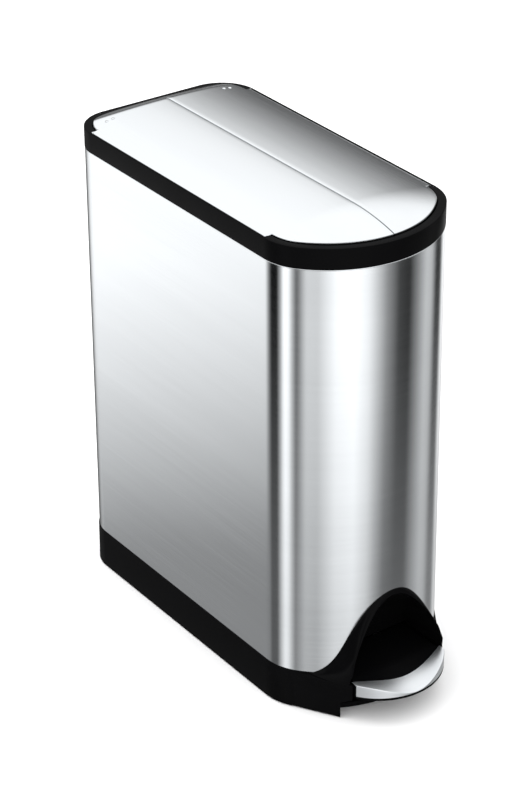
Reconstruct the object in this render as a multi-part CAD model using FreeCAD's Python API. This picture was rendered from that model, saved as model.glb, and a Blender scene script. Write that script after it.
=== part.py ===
import FreeCAD, Part
import math
import os

V = FreeCAD.Vector
os.makedirs("parts", exist_ok=True)

# ---------------------------------------------------------------- driving dimensions (mm)
# Drawn with X across, the pedal towards -Y and Z up. The body outline is centred on the
# Y axis while drawing, and save() moves every piece so that the origin is under the
# middle of the whole can, pedal included.

HALF_W = 127.5            # half the width of the body
REAR_Y = 265.5            # rear face of the body
REAR_R = 52.4             # rear corner radius
FRONT_Y = -265.5          # foremost point of the body's curved front
FRONT_R = 145.0           # radius of the curved front
CORNER_R = 70.9           # radius that joins the curved front to the straight sides

RIM_Z = 650.0             # top of the plastic collar
COLLAR_H = 27.4           # height of the collar band
COLLAR_WALL = 2.0
TONGUE_IN = 3.6           # inner face of the tongue that holds the collar in the body
TONGUE_H = 20.0
LEDGE_W = 11.0            # width of the collar's flat ledge, front and rear
LEDGE_T = 3.0
BASE_TOP = 56.0           # top of the base band along the sides
BASE_BOTTOM = 1.5         # the base's lower edge stands this far off the floor
BASE_WALL = 2.6
FLARE_TOP = 0.6           # how far the base stands proud of the body at its top
FLARE_BOTTOM = 1.0        # and at its bottom
FLOOR_Z = (4.0, 6.5)      # underside and top of the base's floor plate
FLANGE_WALL = 3.0
SHEET = 0.8               # steel sheet of the body and the lids
SHELL_IN = 0.4            # the steel body stands this far inside the collar's outline
SHELL_BOTTOM = 50.3       # its lower edge, hidden in the base

CROWN_Z = 663.6           # top of the lids along the centre seam
CROWN_R = 572.0           # radius of the lids' arch across the can
ROLL_FRONT_Y = -170.0     # where the lids start to roll down towards the front
ROLL_FRONT_R = 330.0
ROLL_REAR_Y = 222.0       # and towards the rear
ROLL_REAR_R = 25.0
LID_GAP = 1.0             # gap between lid and ledge
LID_HALF_W = 124.2        # outer edge of the lids between the notches
NOTCH_FRONT = -168.3      # end of the front ledge
NOTCH_REAR = 215.0        # end of the rear ledge
NOTCH_GAP = 0.8
SEAM_HALF = 0.6           # half the gap between the two lids
BUMPER_X = 22.0           # rubber bumpers under the lids' front ends
BUMPER_Y = -246.0

HINGE_X = 118.5           # lid pivot
HINGE_Z = 648.0
HINGE_PIN_R = 1.2
LID_OPEN = 78.0           # degrees
CAM_R = 28.0              # distance from the lid pivot to the cam pin
CAM_START = 79.0          # degrees below level, lid closed
CAM_PIN_R = 1.5
CAM_CLEAR = 0.3

AXLE_Y = -40.0            # pedal lever pivot
AXLE_Z = 45.0
AXLE_R = 4.0
AXLE_HALF = 58.0
BRACKET_X = 52.0          # inner face of the axle's brackets
CLIP_X = 56.8             # inner side of the clips' grooves
ROD_Y = 232.0             # vertical lift rod
ROD_R = 4.0
PIVOT_CLEAR = 0.06        # radial running clearance
ROLLER_R = 6.0
ROLLER_PIN_R = 2.5

PEDAL_FRONT = -321.0      # foremost point of the pedal
PEDAL_HALF = 70.4         # half width of the pedal
PEDAL_END_Y = -285.0      # where the pedal's outer curve meets its ends
PEDAL_INNER_Y = -274.0    # inner edge of the steel plate
PEDAL_TOP = 56.0
PEDAL_APRON = 40.0        # lower edge of the steel apron
PEDAL_LIP = 40.5          # lowest point of the steel's front edge
PEDAL_BOTTOM = 36.0
PLATE_T = 1.2

ARCH_POINTS = [(100.0, 54.0), (88.5, 60.0), (73.9, 77.8), (61.5, 105.1), (48.3, 130.4), (26.6, 154.5)]
ARCH_TOP = 164.0
MOUTH_POINTS = [(75.0, 50.0), (72.5, 66.0), (68.5, 82.0), (60.5, 100.0), (43.5, 126.5), (22.0, 146.5)]
MOUTH_TOP = 156.0
HOOD_LEAN = 0.14          # the hood's face comes forward as it goes down
HOOD_PROUD = 1.0
SCOOP = (-290.0, 30.0, 85.0, 135.0)   # toe space: centre y, z and half axes of its curved back
HOOD_WALL = 3.0

FLANGE_POINT = (72.5, -280.0)         # front end of the base's flanges, beside the pedal
FLANGE_ANGLE = -31.0                  # where the flange leaves the corner curve, degrees
FLANGE_FOOT = (81.0, -265.3)          # front end of the part that reaches the floor

BUCKET_TOP = 606.4
BUCKET_BOTTOM = 78.0
BUCKET_REAR = 210.0
BUCKET_REAR_R = 38.0
BUCKET_INSET = 12.6
BUCKET_TAPER = 4.0
BUCKET_WALL = 2.5
BUCKET_RIM = 5.0          # inset of the rim's outer edge
BUCKET_ARCH_GAP = 7.0     # room between the bucket and the toe space

FRONT_C = FRONT_Y + FRONT_R                       # centre of the curved front
CORNER_X = HALF_W - CORNER_R                      # centre of each front corner
CORNER_Y = FRONT_C - math.sqrt((FRONT_R - CORNER_R) ** 2 - CORNER_X ** 2)
CORNER_ANGLE = math.degrees(math.atan2(CORNER_Y - FRONT_C, CORNER_X))
COLLAR_Z = RIM_Z - COLLAR_H
SHIFT_Y = -(PEDAL_FRONT + REAR_Y + FLARE_BOTTOM) / 2
CAM_RISE = CAM_R * (math.sin(math.radians(CAM_START)) - math.sin(math.radians(CAM_START - LID_OPEN)))


# ---------------------------------------------------------------- helpers

def save(node, *solids):
    shape = solids[0] if len(solids) == 1 else Part.makeCompound(list(solids))
    placed = shape.copy()
    placed.translate(V(0, SHIFT_Y, 0))
    placed.exportStep("parts/" + node + ".step")
    print(node, len(placed.Solids), placed.isValid(), round(placed.Volume / 1000, 1), "cm3")


def mirrored(shape):
    return shape.mirror(V(0, 0, 0), V(1, 0, 0))


def box(x0, x1, y0, y1, z0, z1):
    return Part.makeBox(x1 - x0, y1 - y0, z1 - z0, V(x0, y0, z0))


def rod(r, start, end):
    along = V(*end) - V(*start)
    return Part.makeCylinder(r, along.Length, V(*start), along)


def fused(*shapes):
    return shapes[0].multiFuse(list(shapes[1:])).removeSplitter()


def arc(cx, cy, r, a0, a1, z):
    def at(a):
        return V(cx + r * math.cos(math.radians(a)), cy + r * math.sin(math.radians(a)), z)
    return Part.Arc(at(a0), at((a0 + a1) / 2), at(a1)).toShape()


def line(p, q):
    return Part.LineSegment(V(*p), V(*q)).toShape()


def outline(inset, z, rear=REAR_Y, rear_r=REAR_R):
    """The can's plan outline, offset inwards, as a closed wire."""
    side = HALF_W - inset
    back = rear - inset
    bend_x = HALF_W - rear_r
    bend_y = rear - rear_r
    edges = [
        line((side, CORNER_Y, z), (side, bend_y, z)),
        arc(bend_x, bend_y, rear_r - inset, 0, 90, z),
        line((bend_x, back, z), (-bend_x, back, z)),
        arc(-bend_x, bend_y, rear_r - inset, 90, 180, z),
        line((-side, bend_y, z), (-side, CORNER_Y, z)),
        arc(-CORNER_X, CORNER_Y, CORNER_R - inset, 180, 180 - CORNER_ANGLE, z),
        arc(0, FRONT_C, FRONT_R - inset, 180 - CORNER_ANGLE, 360 + CORNER_ANGLE, z),
        arc(CORNER_X, CORNER_Y, CORNER_R - inset, CORNER_ANGLE, 0, z),
    ]
    return Part.Wire(edges)


def prism(inset, z0, z1, **rear):
    return Part.Face(outline(inset, z0, **rear)).extrude(V(0, 0, z1 - z0))


def tapered(inset0, z0, inset1, z1, **rear):
    return Part.makeLoft([outline(inset0, z0, **rear), outline(inset1, z1, **rear)], True, True)


def ring(inset_out, inset_in, z0, z1):
    return prism(inset_out, z0, z1).cut(prism(inset_in, z0 - 1, z1 + 1))


def arch_prism(points, top, grow, y0, y1):
    """A bell-shaped arch across the front, extruded along Y; grow offsets it outwards."""
    right = [V(x + grow, y0, z) for x, z in points]
    left = [V(-p.x, y0, p.z) for p in reversed(right)]
    curve = Part.BSplineCurve()
    curve.interpolate(right + [V(0, y0, top + grow)] + left)
    feet = 20.0
    a, b = right[0], left[-1]
    edges = [curve.toShape(), line(tuple(b), (b.x, y0, feet)), line((b.x, y0, feet), (a.x, y0, feet)),
             line((a.x, y0, feet), tuple(a))]
    return Part.Face(Part.Wire(edges)).extrude(V(0, y1 - y0, 0))


def lid_height(x, y):
    """Height of the lids' upper surface."""
    z = CROWN_Z - CROWN_R + math.sqrt(CROWN_R ** 2 - x ** 2)
    if y < ROLL_FRONT_Y:
        z -= ROLL_FRONT_R - math.sqrt(ROLL_FRONT_R ** 2 - (ROLL_FRONT_Y - y) ** 2)
    side = (x / 101.0) ** 2
    past = y - ROLL_REAR_Y - 12.0 * side
    slope = 0.40 - 0.10 * side
    bend = slope * ROLL_REAR_R
    if past > bend:
        z -= slope * (past - bend / 2)
    elif past > 0:
        z -= past ** 2 / (2 * ROLL_REAR_R)
    return z


def spread(start, end, count):
    return [start + (end - start) * i / count for i in range(count + 1)]


def lid_surface():
    xs = spread(0, 128, 8)
    ys = spread(-262, -162, 10) + spread(-130, 190, 5) + spread(206, 262, 16)
    grid = [[V(x, y, lid_height(x, y)) for y in ys] for x in xs]
    surface = Part.BSplineSurface()
    surface.interpolate(grid)
    return surface.toShape()


LID_TOP = lid_surface()


def under_lid(drop):
    """Everything from the lid's upper surface, lowered by drop, to well below it."""
    face = LID_TOP.copy()
    face.translate(V(0, 0, -drop))
    return face.extrude(V(0, 0, -60))


def lid_plan(inset, z0, z1):
    """Plan shape of the right-hand lid: the inset outline, wider between the notches."""
    inner = prism(LEDGE_W + LID_GAP + inset, z0, z1)
    side = LID_HALF_W - inset
    wide = box(-side, side, NOTCH_FRONT + NOTCH_GAP + inset, NOTCH_REAR - NOTCH_GAP - inset, z0, z1)
    half = box(SEAM_HALF + inset, 200, -300, 300, z0, z1)
    return fused(inner, wide).common(half)


# ---------------------------------------------------------------- body

def shell():
    tube = ring(SHELL_IN, SHELL_IN + SHEET, SHELL_BOTTOM, COLLAR_Z - 0.2)
    opening = arch_prism(ARCH_POINTS, ARCH_TOP, 0.4, -300, -190)
    seam = box(-0.4, 0.4, REAR_Y - 0.7, REAR_Y + 1, 40, COLLAR_Z + 10)
    return tube.cut(opening).cut(seam)


def hinge_pin_spans():
    return [(NOTCH_FRONT - 11, NOTCH_FRONT + 9), (NOTCH_REAR - 9, NOTCH_REAR + 11)]


def hinge_pins():
    spans = hinge_pin_spans()
    return [rod(HINGE_PIN_R, (HINGE_X, y0, HINGE_Z), (HINGE_X, y1, HINGE_Z)) for y0, y1 in spans]


def top_collar():
    wall = ring(0, COLLAR_WALL, COLLAR_Z, RIM_Z)
    tongue = ring(SHELL_IN + SHEET + 0.1, TONGUE_IN, COLLAR_Z - TONGUE_H, COLLAR_Z)
    step = ring(SHELL_IN, TONGUE_IN, COLLAR_Z, COLLAR_Z + 2)
    seat = ring(3.0, 11.5, COLLAR_Z - TONGUE_H - 2.4, COLLAR_Z - TONGUE_H + 0.4)
    seat = seat.cut(box(-200, 200, 204, 300, 590, RIM_Z))
    ledge = ring(0.2, LEDGE_W, RIM_Z - LEDGE_T, RIM_Z)
    ledge = ledge.cut(box(-200, 200, NOTCH_FRONT, NOTCH_REAR, 600, 700))
    parts = [wall, tongue, step, seat, ledge]
    corner = ring(COLLAR_WALL - 0.4, LEDGE_W, RIM_Z - 8, RIM_Z)
    for y0, y1 in ((NOTCH_FRONT - 12, NOTCH_FRONT), (NOTCH_REAR, NOTCH_REAR + 12)):
        parts.append(corner.common(box(-200, 200, y0, y1, 600, 700)))
    for x in (-BUMPER_X, BUMPER_X):
        parts.append(box(x - 5, x + 5, BUMPER_Y - 10, BUMPER_Y + 4, RIM_Z - 10, RIM_Z - 7))
        parts.append(box(x - 5, x + 5, BUMPER_Y - 10, BUMPER_Y - 6.5, RIM_Z - 7, RIM_Z - 1))
    collar = fused(*parts)
    for pin in hinge_pins():
        hole = Part.makeCylinder(HINGE_PIN_R + 0.02, 13, pin.BoundBox.Center - V(0, 6.5, 0), V(0, 1, 0))
        end = NOTCH_FRONT - 5 if pin.BoundBox.Center.y < 0 else NOTCH_REAR + 5
        hole.translate(V(0, end - pin.BoundBox.Center.y, 0))
        collar = collar.cut(hole).cut(mirrored(hole))
    return collar


def lid_bumpers():
    return [rod(3.0, (x, BUMPER_Y, RIM_Z - 7), (x, BUMPER_Y, RIM_Z - 5.4)) for x in (-BUMPER_X, BUMPER_X)]


# ---------------------------------------------------------------- base

def flange_start():
    r = CORNER_R + FLARE_TOP
    a = math.radians(FLANGE_ANGLE)
    return CORNER_X + r * math.cos(a), CORNER_Y + r * math.sin(a)


def flange_block(inset, drop):
    """The flange under its sloping top, which falls from the body to the outer edge."""
    sx, sy = flange_start()
    fx, fy = FLANGE_POINT
    top = Part.BSplineCurve()
    heights = [(0.0, 56.0), (0.2, 52.4), (0.6, 51.8), (1.0, 53.0)]
    top.interpolate([V(sx + (fx - sx) * s, sy + (fy - sy) * s, z) for s, z in heights])
    inner = line((sx - 22, sy + 12, 57.6), (50.0, -243.0, 59.0))
    surface = Part.makeRuledSurface(top.toShape(), inner)
    surface.translate(V(0, 0, -drop))
    column = surface.extrude(V(0, 0, -70))
    points = [V(x, y, BASE_BOTTOM) for x, y in plan_corners(inset)]
    plan = Part.Face(Part.makePolygon(points + points[:1])).extrude(V(0, 0, 70))
    return column.common(plan)


def plan_corners(inset):
    sx, sy = flange_start()
    fx, fy = FLANGE_POINT
    run = math.hypot(fx - sx, fy - sy)
    ux, uy = (fx - sx) / run, (fy - sy) / run
    nx, ny = uy, -ux
    end = fx + inset
    back = inset / abs(ux) if inset else 0.0
    return [(sx + nx * inset, sy + ny * inset), (end, fy + back), (end, -244.0), (sx - 20, sy + 4)]


def base():
    outer = tapered(-FLARE_BOTTOM, BASE_BOTTOM, -FLARE_TOP, BASE_TOP)
    inner = prism(BASE_WALL - FLARE_TOP, 0, 70)
    shell_room = prism(SHELL_IN - 0.1, SHELL_BOTTOM - 0.1, 70)
    skirt = outer.cut(inner).cut(shell_room)
    skirt = skirt.cut(box(-FLANGE_POINT[0], FLANGE_POINT[0], -300, -200, 9.0, 80))
    floor = prism(BASE_WALL - FLARE_TOP - 0.5, *FLOOR_Z)
    hollow = flange_block(FLANGE_WALL, FLANGE_WALL).cut(box(0, 200, -400, 0, -10, FLOOR_Z[1]))
    wing = flange_block(0.0, 0.0).cut(shell_room).cut(hollow)
    foot = foot_cut()
    body = fused(skirt, floor, wing, mirrored(wing)).cut(foot).cut(mirrored(foot))
    for x, y in BRACKET_SCREWS:
        body = body.cut(rod(2.2, (x, y, 0), (x, y, 10)))
    return body


def foot_cut():
    """Space under the flange's front end, which stands clear of the floor."""
    sx, sy = flange_start()
    fx, fy = FLANGE_POINT
    run = math.hypot(fx - sx, fy - sy)
    along = V((fx - sx) / run, (fy - sy) / run, 0)
    across = V(along.y, -along.x, 0)
    foot = V(FLANGE_FOOT[0], FLANGE_FOOT[1], 0)
    tip = (V(fx, fy, 0) - foot).Length
    profile = [(0, -5), (0, 23.4), (tip, 31.5), (tip + 30, 31.5), (tip + 30, -5)]
    points = [foot - across * 30 + along * s + V(0, 0, z) for s, z in profile]
    return Part.Face(Part.makePolygon(points + points[:1])).extrude(across * 60)


BRACKET_SCREWS = [(s * 62.0, AXLE_Y + t * 14.0) for s in (-1, 1) for t in (-1, 1)]


def base_screws():
    heads = []
    for x, y in BRACKET_SCREWS:
        head = rod(4.0, (x, y, 2.0), (x, y, 3.95))
        shank = rod(2.0, (x, y, 3.95), (x, y, 10.5))
        slot = box(x - 2.6, x + 2.6, y - 0.4, y + 0.4, 1.9, 2.8)
        heads.append(head.fuse(shank).cut(slot))
    return heads


def rubber_feet():
    return [Part.makeCone(9.0, 10.0, 3.95, V(x, y, 0)) for x in (-88, 88) for y in (-178, 200)]


def hood_region(grow):
    """Space enclosed by the toe scoop's curved back, grown outwards, as a solid across X."""
    cy, cz, ry, rz = SCOOP
    ellipse = Part.Ellipse(V(-150, cy, cz + rz + grow), V(-150, cy + ry + grow, cz), V(-150, cy, cz))
    return Part.Face(Part.Wire([ellipse.toShape()])).extrude(V(300, 0, 0))


def front_slab(proud):
    """Everything behind the hood's leaning face."""
    y_top = FRONT_Y - proud
    y_low = y_top - HOOD_LEAN * ARCH_TOP
    points = [V(-150, y_top, ARCH_TOP), V(-150, y_low, 0), V(-150, -100, 0), V(-150, -100, 200),
              V(-150, y_top + HOOD_LEAN * 36, 200)]
    return Part.Face(Part.makePolygon(points + points[:1])).extrude(V(300, 0, 0))


def between_flanges():
    """Plan region that keeps the hood's flared feet behind the flanges' outer faces."""
    corners = plan_corners(0.6)
    right = [(corners[0][0], -150.0), corners[0], corners[1], (FLANGE_POINT[0] + 0.6, -320.0)]
    left = [(-x, y) for x, y in reversed(right)]
    points = [V(x, y, 0) for x, y in right + left]
    return Part.Face(Part.makePolygon(points + points[:1])).extrude(V(0, 0, 200))


def pedal_hood(base_solid):
    arch = arch_prism(ARCH_POINTS, ARCH_TOP, 0.0, -300, -195).common(front_slab(HOOD_PROUD))
    near = arch.common(box(-150, 150, -300, -246, 0, 200))
    outer = near.fuse(arch.common(hood_region(HOOD_WALL))).common(between_flanges())
    inner = arch_prism(MOUTH_POINTS, MOUTH_TOP, 0.0, -310, -190).common(hood_region(0.0))
    hood = outer.cut(inner).cut(box(-150, 150, -400, 0, 0, 52.0))
    hood = hood.cut(box(-FLANGE_POINT[0], FLANGE_POINT[0], -400, 0, 0, 59.0))
    body_room = tapered(-FLARE_BOTTOM - 0.05, 0, -FLARE_TOP - 0.05, 52.0)
    hood = hood.cut(body_room).cut(base_solid)
    return max(hood.Solids, key=lambda s: s.Volume)


# ---------------------------------------------------------------- pedal and lever

def pedal_arc():
    sag = PEDAL_END_Y - PEDAL_FRONT
    radius = (PEDAL_HALF ** 2 + sag ** 2) / (2 * sag)
    return radius, PEDAL_FRONT + radius


def pedal_column(inset, inner_y, z0, z1):
    """The pedal's crescent plan, offset inwards, as a vertical column."""
    radius, centre = pedal_arc()
    r = radius - inset
    half = PEDAL_HALF - inset
    end_y = centre - math.sqrt(r ** 2 - half ** 2)
    left, right = V(-half, end_y, z0), V(half, end_y, z0)
    curve = Part.Arc(left, V(0, centre - r, z0), right).toShape()
    edges = [
        curve,
        line(tuple(right), (half, inner_y, z0)),
        line((half, inner_y, z0), (-half, inner_y, z0)),
        line((-half, inner_y, z0), tuple(left)),
    ]
    return Part.Face(Part.Wire(edges)).extrude(V(0, 0, z1 - z0))


def pedal_under(drop):
    """Everything under the plate's top, which dips from its ends to its front centre."""
    radius, centre = pedal_arc()
    reach = radius + 3
    points = []
    for i in range(13):
        x = -75.0 + 150.0 * i / 12
        dip = 0.5 * (1 - math.cos(math.pi * min(abs(x) / PEDAL_HALF, 1.0)))
        z = PEDAL_LIP + (PEDAL_TOP - PEDAL_LIP) * dip
        points.append(V(x, centre - math.sqrt(reach ** 2 - x ** 2), z))
    lip = Part.BSplineCurve()
    lip.interpolate(points)
    crest = line((-75, PEDAL_INNER_Y, PEDAL_TOP), (75, PEDAL_INNER_Y, PEDAL_TOP))
    slope = Part.makeRuledSurface(lip.toShape(), crest)
    slope.translate(V(0, 0, -drop))
    return slope.extrude(V(0, 0, -40))


def pedal_plate():
    outer = pedal_under(0.0).common(pedal_column(0, PEDAL_INNER_Y, PEDAL_APRON, 70))
    inner = pedal_under(PLATE_T).common(pedal_column(PLATE_T, PEDAL_INNER_Y + 5, 0, 70))
    return outer.cut(inner)


def pedal_body():
    inset = PLATE_T + 0.05
    nose = pedal_under(inset).common(pedal_column(inset, PEDAL_INNER_Y, PEDAL_BOTTOM + 1, 70))
    rim = pedal_column(0.6, PEDAL_INNER_Y, PEDAL_BOTTOM, PEDAL_APRON - 0.1)
    tail = box(-66, 66, PEDAL_INNER_Y, -206, PEDAL_BOTTOM + 2, PEDAL_TOP)
    solid = fused(nose, rim, tail)
    hollow = pedal_under(PLATE_T + 3.0).common(pedal_column(4.0, PEDAL_INNER_Y + 1, 0, 70))
    hollow_tail = box(-63, 63, PEDAL_INNER_Y - 0.5, -203, 0, PEDAL_TOP - 3.0)
    ears = box(-100, 100, PEDAL_INNER_Y - 1, -100, 0, 30)
    body = solid.cut(hollow).cut(hollow_tail).cut(ears)
    for x, y in PEDAL_SCREWS:
        boss = rod(4.0, (x, y, 49.1), (x, y, PEDAL_TOP - 2))
        body = body.fuse(boss).cut(rod(1.6, (x, y, 40), (x, y, PEDAL_TOP - 1.5)))
    return body


PEDAL_SCREWS = [(-20.0, -262.0), (20.0, -262.0), (-20.0, -230.0), (20.0, -230.0)]
LEVER_X = 31.0
LEVER_T = 3.0
LEVER_Z = (39.0, 49.0)


def pedal_lever():
    z0, z1 = LEVER_Z
    parts = [box(-LEVER_X - 1, LEVER_X + 1, -270, -222, z1 - 3, z1)]
    for side in (-1, 1):
        x0 = side * LEVER_X if side > 0 else -LEVER_X - LEVER_T
        parts.append(box(x0, x0 + LEVER_T, -270, ROD_Y + 10, z0, z1))
    parts.append(box(-LEVER_X - 1, LEVER_X + 1, 90, 110, z0, z0 + 3))
    parts.append(rod(7.0, (-LEVER_X - LEVER_T, AXLE_Y, AXLE_Z), (LEVER_X + LEVER_T, AXLE_Y, AXLE_Z)))
    lever = fused(*parts)
    reach = LEVER_X + 10
    lever = lever.cut(rod(AXLE_R + PIVOT_CLEAR, (-reach, AXLE_Y, AXLE_Z), (reach, AXLE_Y, AXLE_Z)))
    lever = lever.cut(rod(ROLLER_PIN_R + 0.02, (-reach, ROD_Y, AXLE_Z), (reach, ROD_Y, AXLE_Z)))
    for x, y in PEDAL_SCREWS:
        lever = lever.cut(rod(1.7, (x, y, 30), (x, y, 60)))
    return lever


def pedal_screws():
    screws = []
    for x, y in PEDAL_SCREWS:
        head = rod(3.2, (x, y, LEVER_Z[1] - 5), (x, y, LEVER_Z[1] - 3.05))
        screws.append(head.fuse(rod(1.5, (x, y, LEVER_Z[1] - 3.05), (x, y, PEDAL_TOP - 2.2))))
    return screws


def lever_roller():
    roller = rod(ROLLER_R, (-24, ROD_Y, AXLE_Z), (24, ROD_Y, AXLE_Z))
    return roller.cut(rod(ROLLER_PIN_R + 0.1, (-30, ROD_Y, AXLE_Z), (30, ROD_Y, AXLE_Z)))


def roller_pin():
    reach = LEVER_X + LEVER_T + 1.5
    return rod(ROLLER_PIN_R, (-reach, ROD_Y, AXLE_Z), (reach, ROD_Y, AXLE_Z))


def axle_bracket():
    foot = box(BRACKET_X, BRACKET_X + 20, AXLE_Y - 22, AXLE_Y + 22, FLOOR_Z[1] + 0.1, 10)
    profile = [(-20, 10), (20, 10), (9, 50), (6, 54), (-6, 54), (-9, 50)]
    points = [V(BRACKET_X, AXLE_Y + y, z) for y, z in profile]
    web = Part.Face(Part.makePolygon(points + points[:1])).extrude(V(4, 0, 0))
    bracket = fused(foot, web)
    bracket = bracket.cut(rod(AXLE_R + 0.02, (40, AXLE_Y, AXLE_Z), (70, AXLE_Y, AXLE_Z)))
    for x, y in BRACKET_SCREWS:
        bracket = bracket.cut(rod(2.05, (x, y, 0), (x, y, 20)))
    return bracket


def lever_axle():
    bar = rod(AXLE_R, (-AXLE_HALF, AXLE_Y, AXLE_Z), (AXLE_HALF, AXLE_Y, AXLE_Z))
    for side in (-1, 1):
        groove = rod(AXLE_R + 1, (side * CLIP_X, AXLE_Y, AXLE_Z), (side * (CLIP_X + 0.8), AXLE_Y, AXLE_Z))
        core = rod(AXLE_R - 0.6, (side * 56.0, AXLE_Y, AXLE_Z), (side * AXLE_HALF, AXLE_Y, AXLE_Z))
        bar = bar.cut(groove.cut(core))
    return bar


def axle_clips():
    clips = []
    for side in (-1, 1):
        x0 = side * (CLIP_X + 0.05)
        x1 = side * (CLIP_X + 0.75)
        disc = rod(7.0, (x0, AXLE_Y, AXLE_Z), (x1, AXLE_Y, AXLE_Z))
        bore = rod(AXLE_R - 0.5, (side * 56, AXLE_Y, AXLE_Z), (side * 58.5, AXLE_Y, AXLE_Z))
        mouth = box(-60, 60, AXLE_Y - 2.2, AXLE_Y + 2.2, AXLE_Z, AXLE_Z + 9)
        clips.append(disc.cut(bore).cut(mouth))
    return clips


def axle_spacers():
    spacers = []
    for side in (-1, 1):
        x0 = side * (LEVER_X + LEVER_T + 0.4)
        x1 = side * (BRACKET_X - 0.2)
        tube = rod(6.5, (x0, AXLE_Y, AXLE_Z), (x1, AXLE_Y, AXLE_Z))
        spacers.append(tube.cut(rod(AXLE_R + 0.03, (x0 * 0.8, AXLE_Y, AXLE_Z), (x1 * 1.1, AXLE_Y, AXLE_Z))))
    return spacers


# ---------------------------------------------------------------- lift rod

FOOT_Z = AXLE_Z + ROLLER_R + 0.5
YOKE_Y = (217.0, 219.5)
YOKE_X = 114.8


def lift_rod():
    return rod(ROD_R, (0, ROD_Y, FOOT_Z + 5), (0, ROD_Y, 618))


def rod_foot():
    cup = box(-16, 16, ROD_Y - 9, ROD_Y + 9, FOOT_Z, FOOT_Z + 5)
    collar = rod(7.5, (0, ROD_Y, FOOT_Z + 5), (0, ROD_Y, FOOT_Z + 19))
    return fused(cup, collar).cut(rod(ROD_R + 0.02, (0, ROD_Y, FOOT_Z + 5), (0, ROD_Y, FOOT_Z + 30)))


def cam_point(angle):
    """Cam pin centre in the yoke's own frame with the lid at this opening angle."""
    below = math.radians(CAM_START - angle)
    x = HINGE_X - CAM_R * math.cos(below)
    z = HINGE_Z - CAM_R * math.sin(below) - CAM_RISE * angle / LID_OPEN
    return x, z


def cam_slot(half):
    """The curved slot that the cam pin follows, open at its outer end."""
    path = [cam_point(a) for a in spread(-6.0, LID_OPEN + 1, 12)]
    upper, lower = [], []
    for i, (x, z) in enumerate(path):
        x0, z0 = path[max(i - 1, 0)]
        x1, z1 = path[min(i + 1, len(path) - 1)]
        run = math.hypot(x1 - x0, z1 - z0)
        nx, nz = -(z1 - z0) / run, (x1 - x0) / run
        upper.append(V(x + nx * half, YOKE_Y[0] - 1, z + nz * half))
        lower.append(V(x - nx * half, YOKE_Y[0] - 1, z - nz * half))
    sides = []
    for points in (upper, lower):
        curve = Part.BSplineCurve()
        curve.interpolate(points)
        sides.append(curve.toShape())
    end_x, end_z = path[-1]
    run = math.hypot(end_x - path[-2][0], end_z - path[-2][1])
    mid = V(end_x + (end_x - path[-2][0]) / run * half, YOKE_Y[0] - 1,
            end_z + (end_z - path[-2][1]) / run * half)
    cap = Part.Arc(upper[-1], mid, lower[-1]).toShape()
    mouth = Part.LineSegment(upper[0], lower[0]).toShape()
    wire = Part.Wire(Part.__sortEdges__(sides + [cap, mouth]))
    return Part.Face(wire).extrude(V(0, YOKE_Y[1] - YOKE_Y[0] + 2, 0))


def lift_yoke():
    y0, y1 = YOKE_Y
    upper_edge = [(84, 626.5), (60, 618)]
    lower_edge = [(14, 598), (60, 603), (86, 609.5), (104, 609.5), (YOKE_X, 613.0), (YOKE_X, 626.5)]
    half = [V(x, y0, z) for x, z in lower_edge + upper_edge]
    loop = half + [V(-p.x, y0, p.z) for p in reversed(half)]
    plate = Part.Face(Part.makePolygon(loop + loop[:1])).extrude(V(0, y1 - y0, 0))
    hub = box(-13, 13, y0, ROD_Y + 9, 600, 612)
    yoke = fused(plate, hub).cut(rod(ROD_R + 0.02, (0, ROD_Y, 590), (0, ROD_Y, 640)))
    slot = cam_slot(CAM_PIN_R + CAM_CLEAR)
    return yoke.cut(slot).cut(mirrored(slot))


def rod_nut():
    nut = prism_hex(7.0, 0, ROD_Y, 612.3, 616.5)
    return nut.cut(rod(ROD_R + 0.02, (0, ROD_Y, 600), (0, ROD_Y, 630)))


def prism_hex(r, x, y, z0, z1):
    points = [V(x + r * math.cos(i * math.pi / 3), y + r * math.sin(i * math.pi / 3), z0) for i in range(7)]
    return Part.Face(Part.makePolygon(points)).extrude(V(0, 0, z1 - z0))


GUIDES = ((150.0, 168.0), (540.0, 558.0))   # bottom and top of each rod guide
GUIDE_HALF = 20.0
GUIDE_FRONT = 209.3
GUIDE_BACK = REAR_Y - 1.4
COVER_Y = (206.4, 209.0)
COVER_HALF = 119.0
COVER_Z = (82.0, 634.0)
GUIDE_SCREWS = [(x, (low + high) / 2 + 2) for low, high in GUIDES for x in (-13.0, 13.0)]


def rod_guide(z0, z1):
    block = fused(
        box(-GUIDE_HALF, GUIDE_HALF, GUIDE_FRONT, GUIDE_BACK, z0, z0 + 4),
        box(-GUIDE_HALF, GUIDE_HALF, GUIDE_FRONT, GUIDE_FRONT + 4, z0, z1),
        box(-GUIDE_HALF, GUIDE_HALF, GUIDE_BACK - 3.6, GUIDE_BACK, z0, z1),
        rod(9.0, (0, ROD_Y, z0), (0, ROD_Y, z1)),
    )
    block = block.cut(rod(ROD_R + PIVOT_CLEAR, (0, ROD_Y, z0 - 5), (0, ROD_Y, z1 + 5)))
    for x, z in GUIDE_SCREWS:
        block = block.cut(rod(1.55, (x, 205, z), (x, 216, z)))
    return block


def rear_cover():
    y0, y1 = COVER_Y
    panel = box(-COVER_HALF, COVER_HALF, y0, y1, *COVER_Z)
    lips = [box(x - 1.2, x + 1.2, y0, y1 + 10, COVER_Z[0], 596) for x in (-COVER_HALF, COVER_HALF)]
    cover = fused(panel, *lips)
    for x, z in GUIDE_SCREWS:
        cover = cover.cut(rod(1.7, (x, 200, z), (x, 220, z)))
    notch = box(110, 138, 200, 230, 618, 640)
    return cover.cut(notch).cut(mirrored(notch))


def cover_screws():
    screws = []
    seat = COVER_Y[0] - 0.05
    for x, z in GUIDE_SCREWS:
        head = rod(3.2, (x, seat - 1.75, z), (x, seat, z))
        screws.append(head.fuse(rod(1.5, (x, seat, z), (x, 215.5, z))))
    return screws


# ---------------------------------------------------------------- damper

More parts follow.
